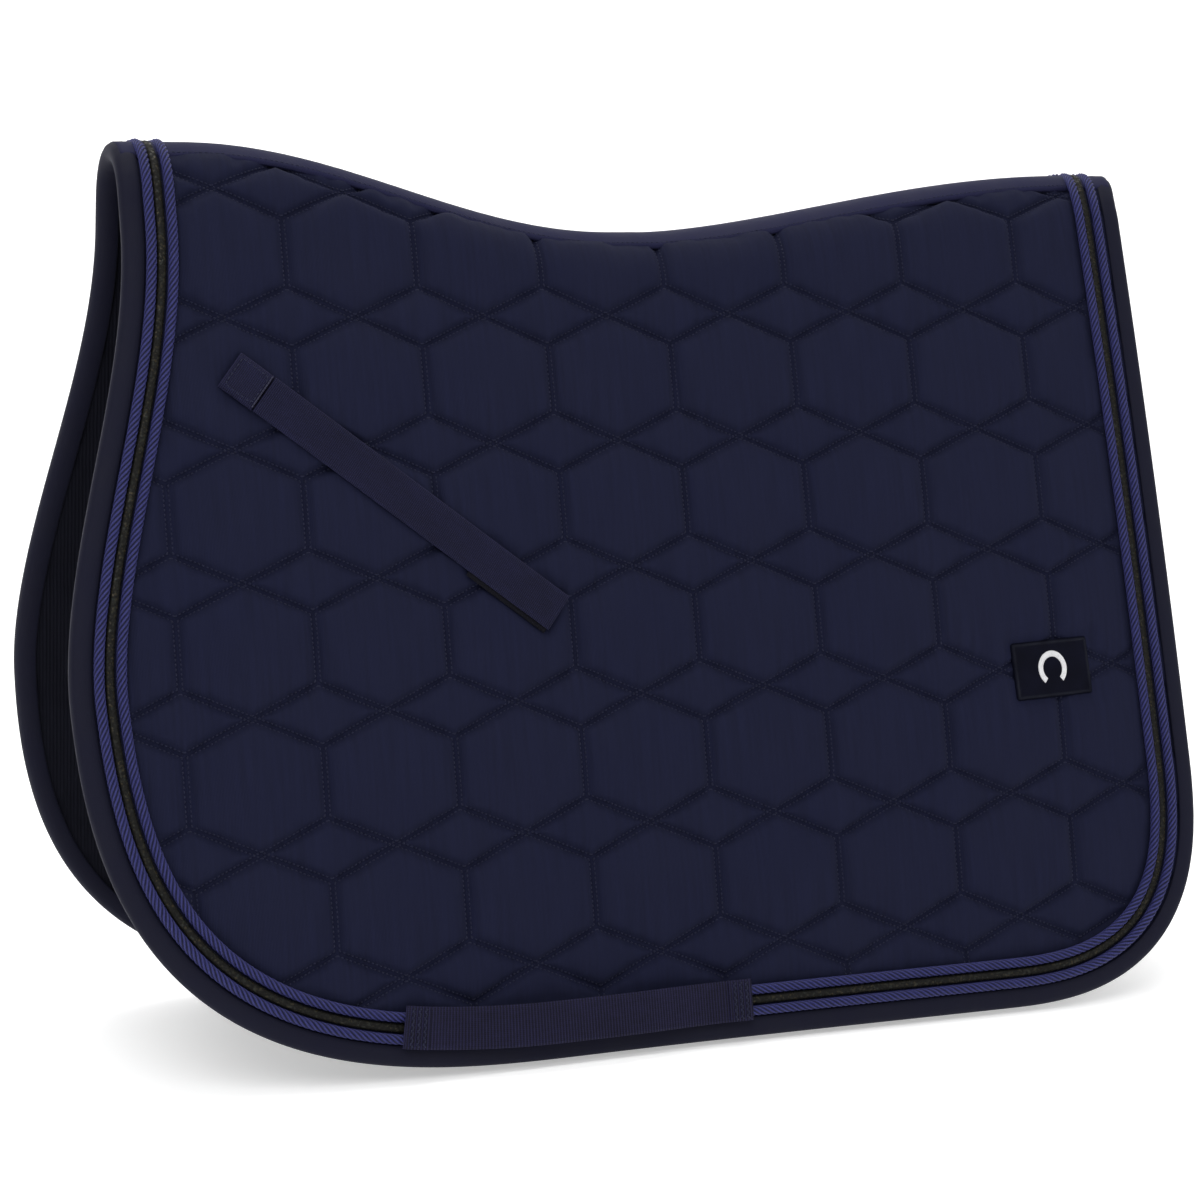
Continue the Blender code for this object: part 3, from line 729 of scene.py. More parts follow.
def quilt_lift(quilting, side, x, depth):
    """The shell's lift at pattern points, by straight lines between the fine grid's points."""
    columns, rows = quilting["axes"]
    lift = quilting["lift"][side]
    i = np.clip(np.searchsorted(columns, x) - 1, 0, len(columns) - 2)
    j = np.clip(np.searchsorted(rows, depth) - 1, 0, len(rows) - 2)
    s = (x - columns[i]) / (columns[i + 1] - columns[i])
    t = (depth - rows[j]) / (rows[j + 1] - rows[j])
    top = lift[j, i] * (1 - s) + lift[j, i + 1] * s
    low = lift[j + 1, i] * (1 - s) + lift[j + 1, i + 1] * s
    return top * (1 - t) + low * t


def masked_grid(cell, index):
    """Quads of the kept cells of a grid, from its grid of point numbers."""
    quads = np.stack([index[:-1, :-1], index[:-1, 1:], index[1:, 1:], index[1:, :-1]], -1)
    return quads[cell]


def directed_edges(quads):
    return np.concatenate([quads[:, [k, (k + 1) % 4]] for k in range(4)])


def border_of(quads, size):
    """Edges that only one quad has, in that quad's direction."""
    edges = directed_edges(quads)
    forward = edges[:, 0].astype(np.int64) * size + edges[:, 1]
    backward = edges[:, 1].astype(np.int64) * size + edges[:, 0]
    return edges[~np.isin(forward, backward)]


def make_quilted_shell(label, side, quilting):
    """Cloth face with its quilting, and the padding's flat back, as one closed piece."""
    x, depth, _ = quilting["fine"]
    fine_cell = np.repeat(np.repeat(quilting["cell"], 2, 0), 2, 1)
    used = corners_of(fine_cell)
    index = numbered(used)
    front = drape(x, depth, quilting["lift"][side], side)[used]
    quads = masked_grid(fine_cell, index)
    # each quad is cut along the diagonal that runs with the nearest diamond seam
    mid_x = (x[:-1, :-1] + x[1:, 1:])[fine_cell] / 2
    mid_d = (depth[:-1, :-1] + depth[1:, 1:])[fine_cell] / 2
    across = np.sin((mid_x - CROSSING[0]) / DIAMOND_HALF[0] * math.pi + math.pi)
    down = np.sin((mid_d - CROSSING[1]) / ROW_PITCH * 2 * math.pi + math.pi)
    falling = across * down > 0
    a, b, c, d = quads.T
    tris = np.concatenate([
        np.stack([a, b, c], -1)[falling], np.stack([a, c, d], -1)[falling],
        np.stack([a, b, d], -1)[~falling], np.stack([b, c, d], -1)[~falling],
    ])
    coarse_x, coarse_d, _, coarse_seam = quilting["coarse"]
    coarse_used = used[::2, ::2]
    back_index = numbered(coarse_used) + used.sum()
    back_lift = -STACK + 0.0014 + 0.0012 * np.exp(-((coarse_seam / 0.006) ** 2))
    back = drape(coarse_x, coarse_d, back_lift, side)[coarse_used]
    back_quads = masked_grid(quilting["cell"], back_index)[:, ::-1]
    coarse_numbers = np.arange(coarse_x.size).reshape(coarse_x.shape)
    rim = border_of(masked_grid(quilting["cell"], coarse_numbers), coarse_x.size)
    cols = coarse_x.shape[1]
    walls = []
    for p, q in rim:
        pi, pj, qi, qj = p // cols, p % cols, q // cols, q % cols
        fine_p, fine_q = index[2 * pi, 2 * pj], index[2 * qi, 2 * qj]
        middle = index[pi + qi, pj + qj]
        back_p, back_q = back_index[pi, pj], back_index[qi, qj]
        walls += [[fine_q, middle, back_q], [middle, back_p, back_q], [middle, fine_p, back_p]]
    faces = tris.tolist() + back_quads.tolist() + [[int(v) for v in w] for w in walls]
    front_uv = np.stack([x[used], depth[used]], -1)
    back_uv = np.stack([coarse_x[coarse_used], coarse_d[coarse_used]], -1)
    uv = np.concatenate([front_uv, back_uv])
    return new_piece(f"{label}_quilted_shell", np.concatenate([front, back]), faces, mat["shell"], uv)


def make_lining(label, side, quilting):
    """Ribbed lining on the horse's side, drawn in a little along the same seams."""
    x, depth, height, seam = quilting["coarse"]
    cell = quilting["cell"]
    used = corners_of(cell)
    sink = 0.0011 * np.exp(-((seam / 0.006) ** 2))
    puff = 0.35 * height
    outer = drape(x, depth, -STACK + 0.0010 + sink - puff, side)[used]
    inner = drape(x, depth, -STACK + 0.0001 + sink - puff, side)[used]
    quads = masked_grid(cell, numbered(used))
    count = used.sum()
    rim = border_of(quads, count)
    walls = np.stack([rim[:, 1], rim[:, 0], rim[:, 0] + count, rim[:, 1] + count], -1)
    faces = np.concatenate([quads, quads[:, ::-1] + count, walls])
    uv = np.stack([x[used], depth[used]], -1)
    return new_piece(f"{label}_lining_cloth", np.concatenate([outer, inner]), faces, mat["lining"],
                     np.concatenate([uv, uv]))


# ---------------------------------------------------------------- stitches


STITCH_SHAPE = np.array(
    [[-0.5, 0, -0.3]]
    + [[-0.28, c, s] for c, s in ((1, 0), (0, 1), (-1, 0), (0, -1))]
    + [[0.28, c, s] for c, s in ((1, 0), (0, 1), (-1, 0), (0, -1))]
    + [[0.5, 0, -0.3]]
)
STITCH_FACES = (
    [[0, 1 + (k + 1) % 4, 1 + k] for k in range(4)]
    + [[1 + k, 1 + (k + 1) % 4, 5 + (k + 1) % 4, 5 + k] for k in range(4)]
    + [[9, 5 + k, 5 + (k + 1) % 4] for k in range(4)]
)


def stitch_mesh(name, points, directions, lifts, side, radius=STITCH_RADIUS, length=STITCH_LENGTH,
                material="thread"):
    """One small thread bump for each pattern point."""
    shape = STITCH_SHAPE * (length, radius, radius)
    cross = np.stack([-directions[:, 1], directions[:, 0]], -1)
    flat = points[:, None] + directions[:, None] * shape[None, :, :1] + cross[:, None] * shape[None, :, 1:2]
    lift = lifts[:, None] + shape[None, :, 2]
    places = drape(flat[..., 0], flat[..., 1], lift, side)
    count = len(points)
    first = len(STITCH_SHAPE) * np.arange(count)[:, None]
    faces = [row for face in STITCH_FACES for row in (np.array(face)[None] + first).tolist()]
    return new_piece(name, places, faces, mat[material], flat)


def seam_points():
    """Middles and directions of every quilting stitch, in two rows beside each seam line."""
    points, directions = [], []

    def run(a, b):
        a, b = np.array(a), np.array(b)
        length = np.linalg.norm(b - a)
        along = (b - a) / length
        cross = np.array([-along[1], along[0]])
        count = int(round(length / STITCH_PITCH))
        at = (np.arange(count) + 0.5) / count * length
        for gauge in (-SEAM_GAUGE, SEAM_GAUGE):
            points.append(a + along * at[:, None] + cross * gauge)
            directions.append(np.repeat(along[None], count, 0))

    width = 2 * DIAMOND_HALF[0]
    for r in DIAMOND_ROWS:
        depth = CROSSING[1] + ROW_PITCH * (r - 3.5)
        for c in DIAMOND_COLUMNS:
            x = CROSSING[0] + width * (c - 3.5)
            middle = x + DIAMOND_HALF[0]
            for end in (-1, 1):
                tip = (middle, depth + end * DIAMOND_HALF[1])
                run((x, depth), tip)
                run(tip, (x + width, depth))
            run((middle, depth + DIAMOND_HALF[1]), (middle, depth + ROW_PITCH - DIAMOND_HALF[1]))
    return np.concatenate(points), np.concatenate(directions)


def make_quilt_stitches(label, side, quilting):
    points, directions = seam_points()
    box = (points[:, 0] > -0.385) & (points[:, 0] < 0.36) & (points[:, 1] > -0.06) & (points[:, 1] < 0.53)
    points, directions = points[box], directions[box]
    inner = edge_distance(points) - setback(points[:, 0])
    arc = points[:, 1] + spine_height(points[:, 0])
    keep = (inner > 0.0315) & (arc > TAPE_HALF_WIDTH - 0.001)
    if side == LEFT:
        keep &= in_patch(points[:, 0], points[:, 1], BADGE_CENTRE, BADGE_SIZE, BADGE_TILT, 0.0001) < 0.5
    points, directions = points[keep], directions[keep]
    lifts = quilt_lift(quilting, side, points[:, 0], points[:, 1]) + 0.00012
    return stitch_mesh(f"{label}_quilting_stitches", points, directions, lifts, side)


def row_of_stitches(name, path, lift, side, length=0.0024, pitch=0.0033, radius=0.0004, material="thread"):
    points, _ = resample(np.asarray(path, float), pitch)
    middles = (points[1:] + points[:-1]) / 2
    directions = along_of(middles)
    lifts = lift(middles) if callable(lift) else np.full(len(middles), lift)
    return stitch_mesh(name, middles, directions, lifts, side, radius, length, material)


# ---------------------------------------------------------------- trim


def make_binding(label, side):
    """Tape folded over the edge: an outer lap, a soft round nose and an inner lap."""
    profile = [
        (BINDING_WIDTH, 0.0002), (BINDING_WIDTH + 0.0001, 0.0011), (BINDING_WIDTH - 0.0008, 0.0015),
        (0.0095, 0.0019), (0.0065, 0.0018), (0.0036, 0.0014), (0.0013, 0.0001), (0.0001, -0.0020),
        (-0.0001, -0.0048), (0.0005, -0.0072), (0.0018, -0.0094), (0.0038, -0.0108), (0.0065, -0.0114),
        (0.0095, -0.0115), (BINDING_WIDTH - 0.0008, -0.0111), (BINDING_WIDTH + 0.0001, -0.0107),
        (BINDING_WIDTH, -0.0098), (0.0080, -0.0100), (0.0030, -0.0088), (0.0016, -0.0048), (0.0030, -0.0008),
        (0.0080, 0.0004),
    ]
    base, at = resample(EDGE[EDGE[:, 1] + spine_height(EDGE[:, 0]) >= 0.0], 0.0026)
    along = along_of(base)
    inward = np.stack([along[:, 1], -along[:, 0]], -1)
    pucker = np.sin(at * 2 * math.pi / 0.0093) * np.sin(at * 2 * math.pi / 0.0371 + 1.0)
    at = np.concatenate([[at[0] - 0.0010], at, [at[-1] + 0.0010]])
    rings = []
    for k, (inset, lift) in enumerate(profile):
        face = 1 if k in range(2, 6) or k in range(11, 15) else 0.3
        wobble = 0.00013 * face * pucker * (1 if lift > -0.0048 else -1)
        flat = base + inward * inset
        arc = np.maximum(flat[:, 1] + spine_height(flat[:, 0]), 0.0003)
        x = np.concatenate([flat[:1, 0], flat[:, 0], flat[-1:, 0]])
        arc = np.concatenate([[-0.0002], arc, [-0.0002]])
        wobble = np.concatenate([wobble[:1], wobble, wobble[-1:]])
        rings.append(drape(x, arc - spine_height(x), lift + wobble, side))
    rings = np.stack(rings, 1)
    across = np.cumsum([0] + [math.dist(p, q) for p, q in zip(profile, profile[1:])])
    uv = np.stack(np.broadcast_arrays(at[:, None], across[None]), -1)
    return ring_tube(f"{label}_binding_tape", rings, mat["binding"], uv)


def trim_runs(inset, start_arc):
    path = inset_path(inset, start_arc)
    path[:, 0] -= setback(path[:, 0])
    tuck = GIRTH_LOOP_END / 2
    front = path[path[:, 0] < GIRTH_LOOP_FRONT + tuck]
    rear = path[(path[:, 0] > GIRTH_LOOP_REAR - tuck) & ((path[:, 1] > FLAP_DEPTH / 2) | (path[:, 0] > 0))]
    return {"front": front, "rear": rear}


def near_crown(points):
    """1 on the spine line, falling to 0 down the arch."""
    return 1 - smooth_step((points[:, 1] + spine_height(points[:, 0])) / CROWN_SINK_ARC)


def make_cord(name, path, side):
    """Twisted cord: a lobed section that turns as it goes along, always with the same hand."""
    points, _ = resample(path, 0.0018)
    lift = CORD_LIFT - CROWN_SINK * near_crown(points)
    centre = drape(points[:, 0], points[:, 1], lift, side)
    length = np.concatenate([[0], np.cumsum(np.linalg.norm(np.diff(centre, axis=0), axis=1))])
    tangent = along_of(centre)
    normal = outward(points[:, 0], points[:, 1], side)
    normal -= tangent * (normal * tangent).sum(-1, keepdims=True)
    normal /= np.linalg.norm(normal, axis=-1, keepdims=True)
    binormal = np.cross(tangent, normal)
    around = 5 * CORD_LOBES
    twist = 2 * math.pi * length / CORD_LAY
    base = 2 * math.pi * np.arange(around) / around
    radius = CORD_RADIUS * (0.68 + 0.32 * np.abs(np.sin(base * CORD_LOBES / 2)) ** 0.7)
    end = np.minimum(length, length[-1] - length)
    taper = np.sqrt(np.clip(1 - (1 - np.clip(end / 0.0030, 0, 1)) ** 2, 0.02, 1))
    angle = base[None] + twist[:, None]
    spread = (radius[None] * taper[:, None])[..., None]
    rings = centre[:, None] + spread * (
        np.cos(angle)[..., None] * normal[:, None] + np.sin(angle)[..., None] * binormal[:, None]
    )
    uv = np.stack(np.broadcast_arrays(length[:, None], (base / (2 * math.pi) * CORD_LOBES)[None]), -1)
    return ring_tube(name, rings, mat["cord"], uv)


def make_braid(name, path, side):
    """Flat plaited braid with a rough, lumpy face."""
    points, at = resample(path, 0.0012)
    along = along_of(points)
    cross = np.stack([-along[:, 1], along[:, 0]], -1)
    share = np.linspace(-1, 1, 9)
    width = 0.0025
    flat = points[:, None] + cross[:, None] * (share * width)[None, :, None]
    s = at[:, None]
    phase = 2 * math.pi * s / 0.0042
    plait = np.maximum(np.sin(phase + 2.6 * share), np.sin(phase - 2.6 * share + 3.1))
    rough = np.sin(s * 5100 + share * 7) * np.sin(s * 2300 - share * 11)
    lift = 0.0016 + 0.0011 * np.sqrt(np.clip(1 - share**4, 0, 1)) + 0.00035 * plait + 0.00015 * rough
    lift = lift - 0.0004 * near_crown(points)[:, None]
    top = drape(flat[..., 0], flat[..., 1], lift, side)
    low = drape(flat[..., 0], flat[..., 1], 0.0002 + 0 * lift, side)
    uv = np.stack(np.broadcast_arrays(s, share * width), -1)
    return slab(name, top, low, mat["braid"], uv)


# ---------------------------------------------------------------- webbing


def webbing(name, centre, length, angle, lift, side, thickness=WEBBING_THICKNESS, width=WEBBING_WIDTH,
            material="webbing", ribs=0.00034, step=0.00047, bent=None, pitch=RIB_PITCH):
    """Ribbed webbing on the pattern: lift gives the height of its middle layer from the share along it.

    bent turns distances along and across into pattern points, where the webbing isn't straight.
    """
    count = int(round(length / step)) + 1
    share = np.linspace(0, 1, count)[:, None]
    v = np.linspace(-1, 1, 15)
    v = np.sign(v) * (1 - (1 - np.abs(v)) ** 1.25)
    along = (share - 0.5) * length
    over = v * width / 2
    x, depth = about(centre, angle, along, over) if bent is None else bent(centre + along, over)
    height = lift(share) if callable(lift) else lift + 0 * share
    body = thickness / 2 * (1 - np.abs(v) ** 12 * 0.75)
    end = np.minimum(share, 1 - share) * length
    body = body * np.sqrt(np.clip(1 - (1 - np.clip(end / 0.0008, 0, 1)) ** 2, 0.10, 1))
    rib = ribs * np.cos(2 * math.pi * along / pitch) * (1 - np.abs(v) ** 16)
    top = drape(x, depth, height + body + rib, side)
    low = drape(x, depth, height - body + rib * 0.6, side)
    uv = np.stack(np.broadcast_arrays(along, over), -1)
    return slab(name, top, low, mat[material], uv)


def patch_path(centre, angle, points):
    """Pattern points from (along, over) points about a centre."""
    points = np.asarray(points, float)
    return np.stack(about(centre, angle, points[:, 0], points[:, 1]), -1)


def hem_line(inset):
    """The line this far in from the hem.

    It returns a function from distances along and across it to pattern points, and another from x to
    the distance along it.
    """
    path = inset_path(inset, ARCH_ARC)
    path, at = resample(path[path[:, 1] > FLAP_DEPTH - GIRTH_LOOP_CLIMB], 0.001)
    directions = along_of(path)

    def bent(along, over):
        x, depth = np.interp(along, at, path[:, 0]), np.interp(along, at, path[:, 1])
        run, fall = np.interp(along, at, directions[:, 0]), np.interp(along, at, directions[:, 1])
        return x - over * fall, depth + over * run

    return bent, lambda x: float(np.interp(x, path[:, 0], at))


def make_girth_loop(label, side):
    """Webbing along the hem with room for the girth behind it, sewn down over a fold at each end."""
    bent, distance_at = hem_line(GIRTH_LOOP_INSET)
    front, rear = distance_at(GIRTH_LOOP_FRONT), distance_at(GIRTH_LOOP_REAR)
    length = rear - front
    flat = GIRTH_LOOP_END / length

    def lift(share):
        rise = (np.minimum(share, 1 - share) - flat) / (0.5 - flat)
        return GIRTH_LOOP_SEAT + GIRTH_LOOP_BOW * smooth_step(rise * 1.25)

    loop = webbing(f"{label}_girth_loop_webbing", (front + rear) / 2, length, 0, lift, side, bent=bent)
    pieces = {f"{label}_girth_loop": loop}
    for end, start, inward in (("front", front, 1), ("rear", rear, -1)):
        middle = start + inward * GIRTH_LOOP_END * 0.45
        size = GIRTH_LOOP_END * 0.8
        fold_lift = GIRTH_LOOP_SEAT + WEBBING_THICKNESS - 0.0003
        tab = webbing(f"{label}_girth_loop_{end}_fold", middle, size, 0, fold_lift, side,
                      thickness=FOLD_THICKNESS, bent=bent)
        pieces[f"{label}_girth_loop_{end}_tab"] = tab
        rows = []
        for k in range(3):
            across = np.linspace(-0.0112, 0.0112, 13)
            zigzag = (k - 1) * size * 0.27 + 0.0015 * (-1.0) ** np.arange(13)
            rows.append(np.stack(bent(middle + zigzag, across), -1))
        lift_top = fold_lift + FOLD_THICKNESS / 2 + 0.00035
        stitches = [row_of_stitches(f"{label}_tab_row", row, lift_top, side, pitch=0.0024, length=0.0020)
                    for row in rows]
        pieces[f"{end}_stitches"] = join(stitches, f"{label}_girth_loop_{end}_stitches")
    return pieces


def join(objects, name):
    bpy.ops.object.select_all(action="DESELECT")
    for obj in objects:
        obj.select_set(True)
    bpy.context.view_layer.objects.active = objects[0]
    bpy.ops.object.join()
    objects[0].name = name
    return objects[0]


def make_strap(label, side):
    """Anchor fold, strap, and the hook and loop strips."""
    pieces = {}
    anchor_middle = along_strap(-ANCHOR_LENGTH / 2 - 0.0003)
    woven_strap = {"material": "strap", "pitch": STRAP_RIB_PITCH, "step": STRAP_RIB_PITCH / 4}

    def fold(share):
        return 0.0027 + 0.0006 * np.sin(math.pi * share)

    pieces["anchor"] = webbing(f"{label}_strap_anchor_fold", anchor_middle, ANCHOR_LENGTH, STRAP_ANGLE,
                               fold, side, thickness=0.0044, ribs=0.00022, **woven_strap)
    length = STRAP_LENGTH - 0.0003

    def strap_lift(share):
        return STRAP_LIFT + WEBBING_THICKNESS / 2 + 0.0006 * smooth_step((share - 0.75) / 0.25)

    pieces["strap"] = webbing(f"{label}_billet_strap_webbing", along_strap(0.0003 + length / 2), length,
                              STRAP_ANGLE, strap_lift, side, ribs=0.00032, **woven_strap)
    x, depth = along_strap(STRAP_LENGTH - HOOK_LENGTH / 2 - 0.001)
    hook_middle = (x - HOOK_OFFSET * math.sin(STRAP_ANGLE), depth + HOOK_OFFSET * math.cos(STRAP_ANGLE))
    pieces["hook"] = webbing(f"{label}_hook_strip_pile", hook_middle,
                             HOOK_LENGTH, STRAP_ANGLE, STRAP_LIFT - 0.0004, side, thickness=0.0009,
                             width=WEBBING_WIDTH - 0.002, material="hook", ribs=0.0, step=0.0012)
    pieces["loop"] = webbing(f"{label}_loop_strip_pile", along_strap(STRAP_LENGTH - HOOK_LENGTH / 2 - 0.001),
                             HOOK_LENGTH - 0.006, STRAP_ANGLE, 0.0010, side, thickness=0.0012,
                             width=WEBBING_WIDTH - 0.003, material="hook", ribs=0.0, step=0.0012)
    box = [(-0.0095, -0.0095), (0.0095, -0.0095), (0.0095, 0.0095), (-0.0095, 0.0095), (-0.0095, -0.0095)]
    path = patch_path(anchor_middle, STRAP_ANGLE, box)
    lift_top = 0.0027 + 0.0022 + 0.0004
    box_stitches = row_of_stitches(f"{label}_anchor_box", path, lift_top, side)
    bar = patch_path(anchor_middle, STRAP_ANGLE, [(0.0110, -0.0115), (0.0110, 0.0115)])
    bar_stitches = row_of_stitches(f"{label}_anchor_bar", bar, lift_top, side, length=0.0022, pitch=0.0019,
                                   radius=0.00045, material="light_thread")
    pieces["anchor_stitches"] = join([box_stitches, bar_stitches], f"{label}_strap_anchor_stitches")
    return pieces


def make_badge_patch():
    """Dark patch with rounded corners and a raised frame line."""
    rows, cols = 61, 89
    v = np.linspace(-1, 1, rows)[:, None]
    u = np.linspace(-1, 1, cols)[None]
    half = (BADGE_SIZE[0] / 2, BADGE_SIZE[1] / 2)
    corner = 0.0022
    along, over = u * half[0] + 0 * v, v * half[1] + 0 * u
    qx = np.abs(along) - (half[0] - corner)
    qy = np.abs(over) - (half[1] - corner)
    from_edge = corner - np.hypot(np.maximum(qx, 0), np.maximum(qy, 0)) - np.minimum(np.maximum(qx, qy), 0)
    pull = np.where(from_edge < 0, 1 + from_edge / np.maximum(np.hypot(along, over), 1e-6), 1)
    along, over = along * pull, over * pull
    x, depth = about(BADGE_CENTRE, BADGE_TILT, along, over)
    frame_line = np.exp(-(((from_edge - FRAME_INSET) / 0.00065) ** 2))
    dome = 0.0010 * np.sqrt(np.clip(1 - (1 - np.clip(from_edge / 0.0012, 0, 1)) ** 2, 0, 1))
    wave = 0.0002 * np.sin(along * 900) * np.sin(over * 1100 + 1)
    lift = 0.0006 + dome + (0.0007 + wave) * frame_line
    bow = 0.0006 * np.sin(math.pi * (u + 1) / 2) * np.ones_like(v)
    top = drape(x, depth, lift + bow, LEFT)
    low = drape(x, depth, 0.0001 + bow * 0.5, LEFT)
    uv = np.stack([along, over], -1)
    return slab("badge_patch_rubber", top, low, mat["badge"], uv)


def make_emblem():
    """Plain horseshoe in raised thread, with seven nail marks."""
    half_length = BADGE_SIZE[0] / 2
    steps, across = 90, 9
    opening = math.radians(80)
    turn = -math.pi / 2 + (math.pi - opening / 2) * np.linspace(-1, 1, steps)
    radius, band = 0.0085, 0.0035
    share = np.linspace(-1, 1, across)
    distance = radius + share[None] * band / 2
    hx = distance * np.cos(turn)[:, None]
    hd = 1.12 * distance * np.sin(turn)[:, None]
    ex, ed = about(BADGE_CENTRE, BADGE_TILT, hx, hd)
    crown = 0.0007 * np.sqrt(np.clip(1 - share**4, 0, 1))[None] + 0 * hx
    nails = np.zeros_like(hx)
    for k in range(7):
        at = -math.pi / 2 + (math.pi - opening / 2) * (k - 3) / 3.6
        gap = np.hypot((turn - at)[:, None] * radius, share[None] * band / 2)
        nails = np.maximum(nails, np.exp(-((gap / 0.00055) ** 2)))
    bow_at = 0.0006 * np.sin(math.pi * np.clip(hx / half_length + 1, 0, 2) / 2)
    top = drape(ex, ed, 0.0016 + bow_at + crown - 0.0007 * nails, LEFT)
    low = drape(ex, ed, 0.0014 + bow_at + 0 * hx, LEFT)
    uv = np.stack(np.broadcast_arrays((turn * radius)[:, None], share[None] * band / 2), -1)
    return slab("badge_horseshoe", top, low, mat["emblem"], uv)


def make_tape(label, side, face):
    """Half of the spine tape, from the spine line to its sewn edge, outside or inside."""
    rows = 16
    half = TAPE_HALF_WIDTH
    share = np.linspace(0, 1, rows)
    arc = half * share
    edge = np.clip((half - arc) / 0.0022, 0, 1)
    roll = np.sqrt(np.clip(1 - (1 - edge) ** 2, 0, 1))
    front, rear = SPINE_FRONT + 0.004, rear_edge(arc - CANTLE_RISE) - 0.004
    grid_x = front + (rear - front) * np.linspace(0, 1, 260)[:, None]
    depth = arc[None] - spine_height(grid_x)
    ripple = 0.00012 * np.sin(grid_x * 430) * np.sin(grid_x * 97 + 1) * share[None]
    if face == "outer":
        swell = 0.0004 + 0.0013 * roll[None] + 0.0005 * np.sin(math.pi * share)[None] + ripple
        top = drape(grid_x, depth, swell, side)
        low = drape(grid_x, depth, -0.0012 + 0 * swell, side)
    else:
        swell = 0.0001 + 0.0009 * roll[None] + ripple
        top = drape(grid_x, depth, -STACK + 0.0012 + 0 * swell, side)
        low = drape(grid_x, depth, -STACK - swell, side)
    uv = np.stack(np.broadcast_arrays(grid_x, arc[None] + 0 * grid_x), -1)
    return slab(f"{label}_spine_tape_{face}_half", top, low, mat["tape"], uv)


# ---------------------------------------------------------------- putting it together


def bend(piece):
    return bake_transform(piece)


def lift_for_each_side(quilting):
    """The shell's lift, held down under the strap and the loop strip, and on the left under the badge."""
    base = quilting["fine"][2]
    x, depth = np.meshgrid(*quilting["axes"])
    strap_size = (STRAP_LENGTH, WEBBING_WIDTH)
    loop_size = (HOOK_LENGTH - 0.006, WEBBING_WIDTH - 0.003)
    loop_middle = along_strap(STRAP_LENGTH - HOOK_LENGTH / 2 - 0.001)
    under_strap = in_patch(x, depth, along_strap(STRAP_LENGTH / 2), strap_size, STRAP_ANGLE, 0.007)
    under_loop = in_patch(x, depth, loop_middle, loop_size, STRAP_ANGLE, 0.010)
    under_badge = in_patch(x, depth, BADGE_CENTRE, BADGE_SIZE, BADGE_TILT, 0.012)
    base = pressed(base, under_strap, STRAP_LIFT - 0.0009)
    base = pressed(base, under_loop, 0.0002)
    return {LEFT: pressed(base, under_badge, 0.0002), RIGHT: base}


def add_cloth(label, side, quilting):
    shell = make_quilted_shell(label, side, quilting)
    bend(shell)
    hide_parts(f"{label}_outer_shell", f"{label}_wadding_core")
    lining = make_lining(label, side, quilting)
    bend(lining)
    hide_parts(f"{label}_lining")
    stitches = make_quilt_stitches(label, side, quilting)
    bend(stitches)


def add_trim(label, side):
    binding = make_binding(label, side)
    bend(binding)
    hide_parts(f"{label}_edge_binding")
    for run in ("front", "rear"):
        for which, inset in (("outer", OUTER_CORD_INSET), ("inner", INNER_CORD_INSET)):
            path = trim_runs(inset, CROWN_START)[run]
            cord = make_cord(f"{label}_{run}_{which}_twisted_cord", path, side)
            bend(cord)
            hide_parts(f"{label}_{run}_{which}_cord")
        braid = make_braid(f"{label}_{run}_braid", trim_runs(BRAID_INSET, CROWN_START)[run], side)
        bend(braid)
        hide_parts(f"{label}_{run}_glitter_braid")


def add_webbing(label, side):
    for node, piece in make_girth_loop(label, side).items():
        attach(piece, f"{label}_flap")
        if not node.endswith("stitches"):
            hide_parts(node)
    strap = make_strap(label, side)
    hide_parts(f"{label}_strap_anchor")
    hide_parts(f"{label}_billet_strap")
    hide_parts(f"{label}_hook_strip")
    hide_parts(f"{label}_loop_strip")
    for part in ("anchor", "loop", "anchor_stitches"):
        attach(strap[part], f"{label}_flap")
    for part in ("strap", "hook"):
        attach(strap[part], f"{label}_strap")


def add_tapes(label, side):
    xs = np.linspace(SPINE_FRONT + 0.034, SPINE_REAR - 0.034, 400)
    path = np.stack([xs, TAPE_HALF_WIDTH - 0.0030 - spine_height(xs)], -1)
    for face, seam_lift in (("outer", 0.0019), ("inner", -STACK - 0.0010)):
        tape = make_tape(label, side, face)
        bend(tape)
        if face == "outer" and side == LEFT:
            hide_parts("spine_tape_outer", "spine_wadding_bridge")
        if face == "inner" and side == LEFT:
            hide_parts("spine_tape_inner")
        seam = row_of_stitches(f"{label}_spine_tape_{face}_stitches", path, seam_lift, side)
        bend(seam)


def build():
    quilting = make_quilting()
    quilting["lift"] = lift_for_each_side(quilting)
    for label, side in SIDES.items():
        add_cloth(label, side, quilting)
        add_trim(label, side)
        add_webbing(label, side)
        add_tapes(label, side)
    badge, emblem = make_badge_patch(), make_emblem()
    for piece, node, slot in ((badge, "badge_patch", "badge"), (emblem, "badge_emblem", "emblem")):
        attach(piece, "left_flap")
        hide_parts(node)


# ---------------------------------------------------------------- stage, light and camera


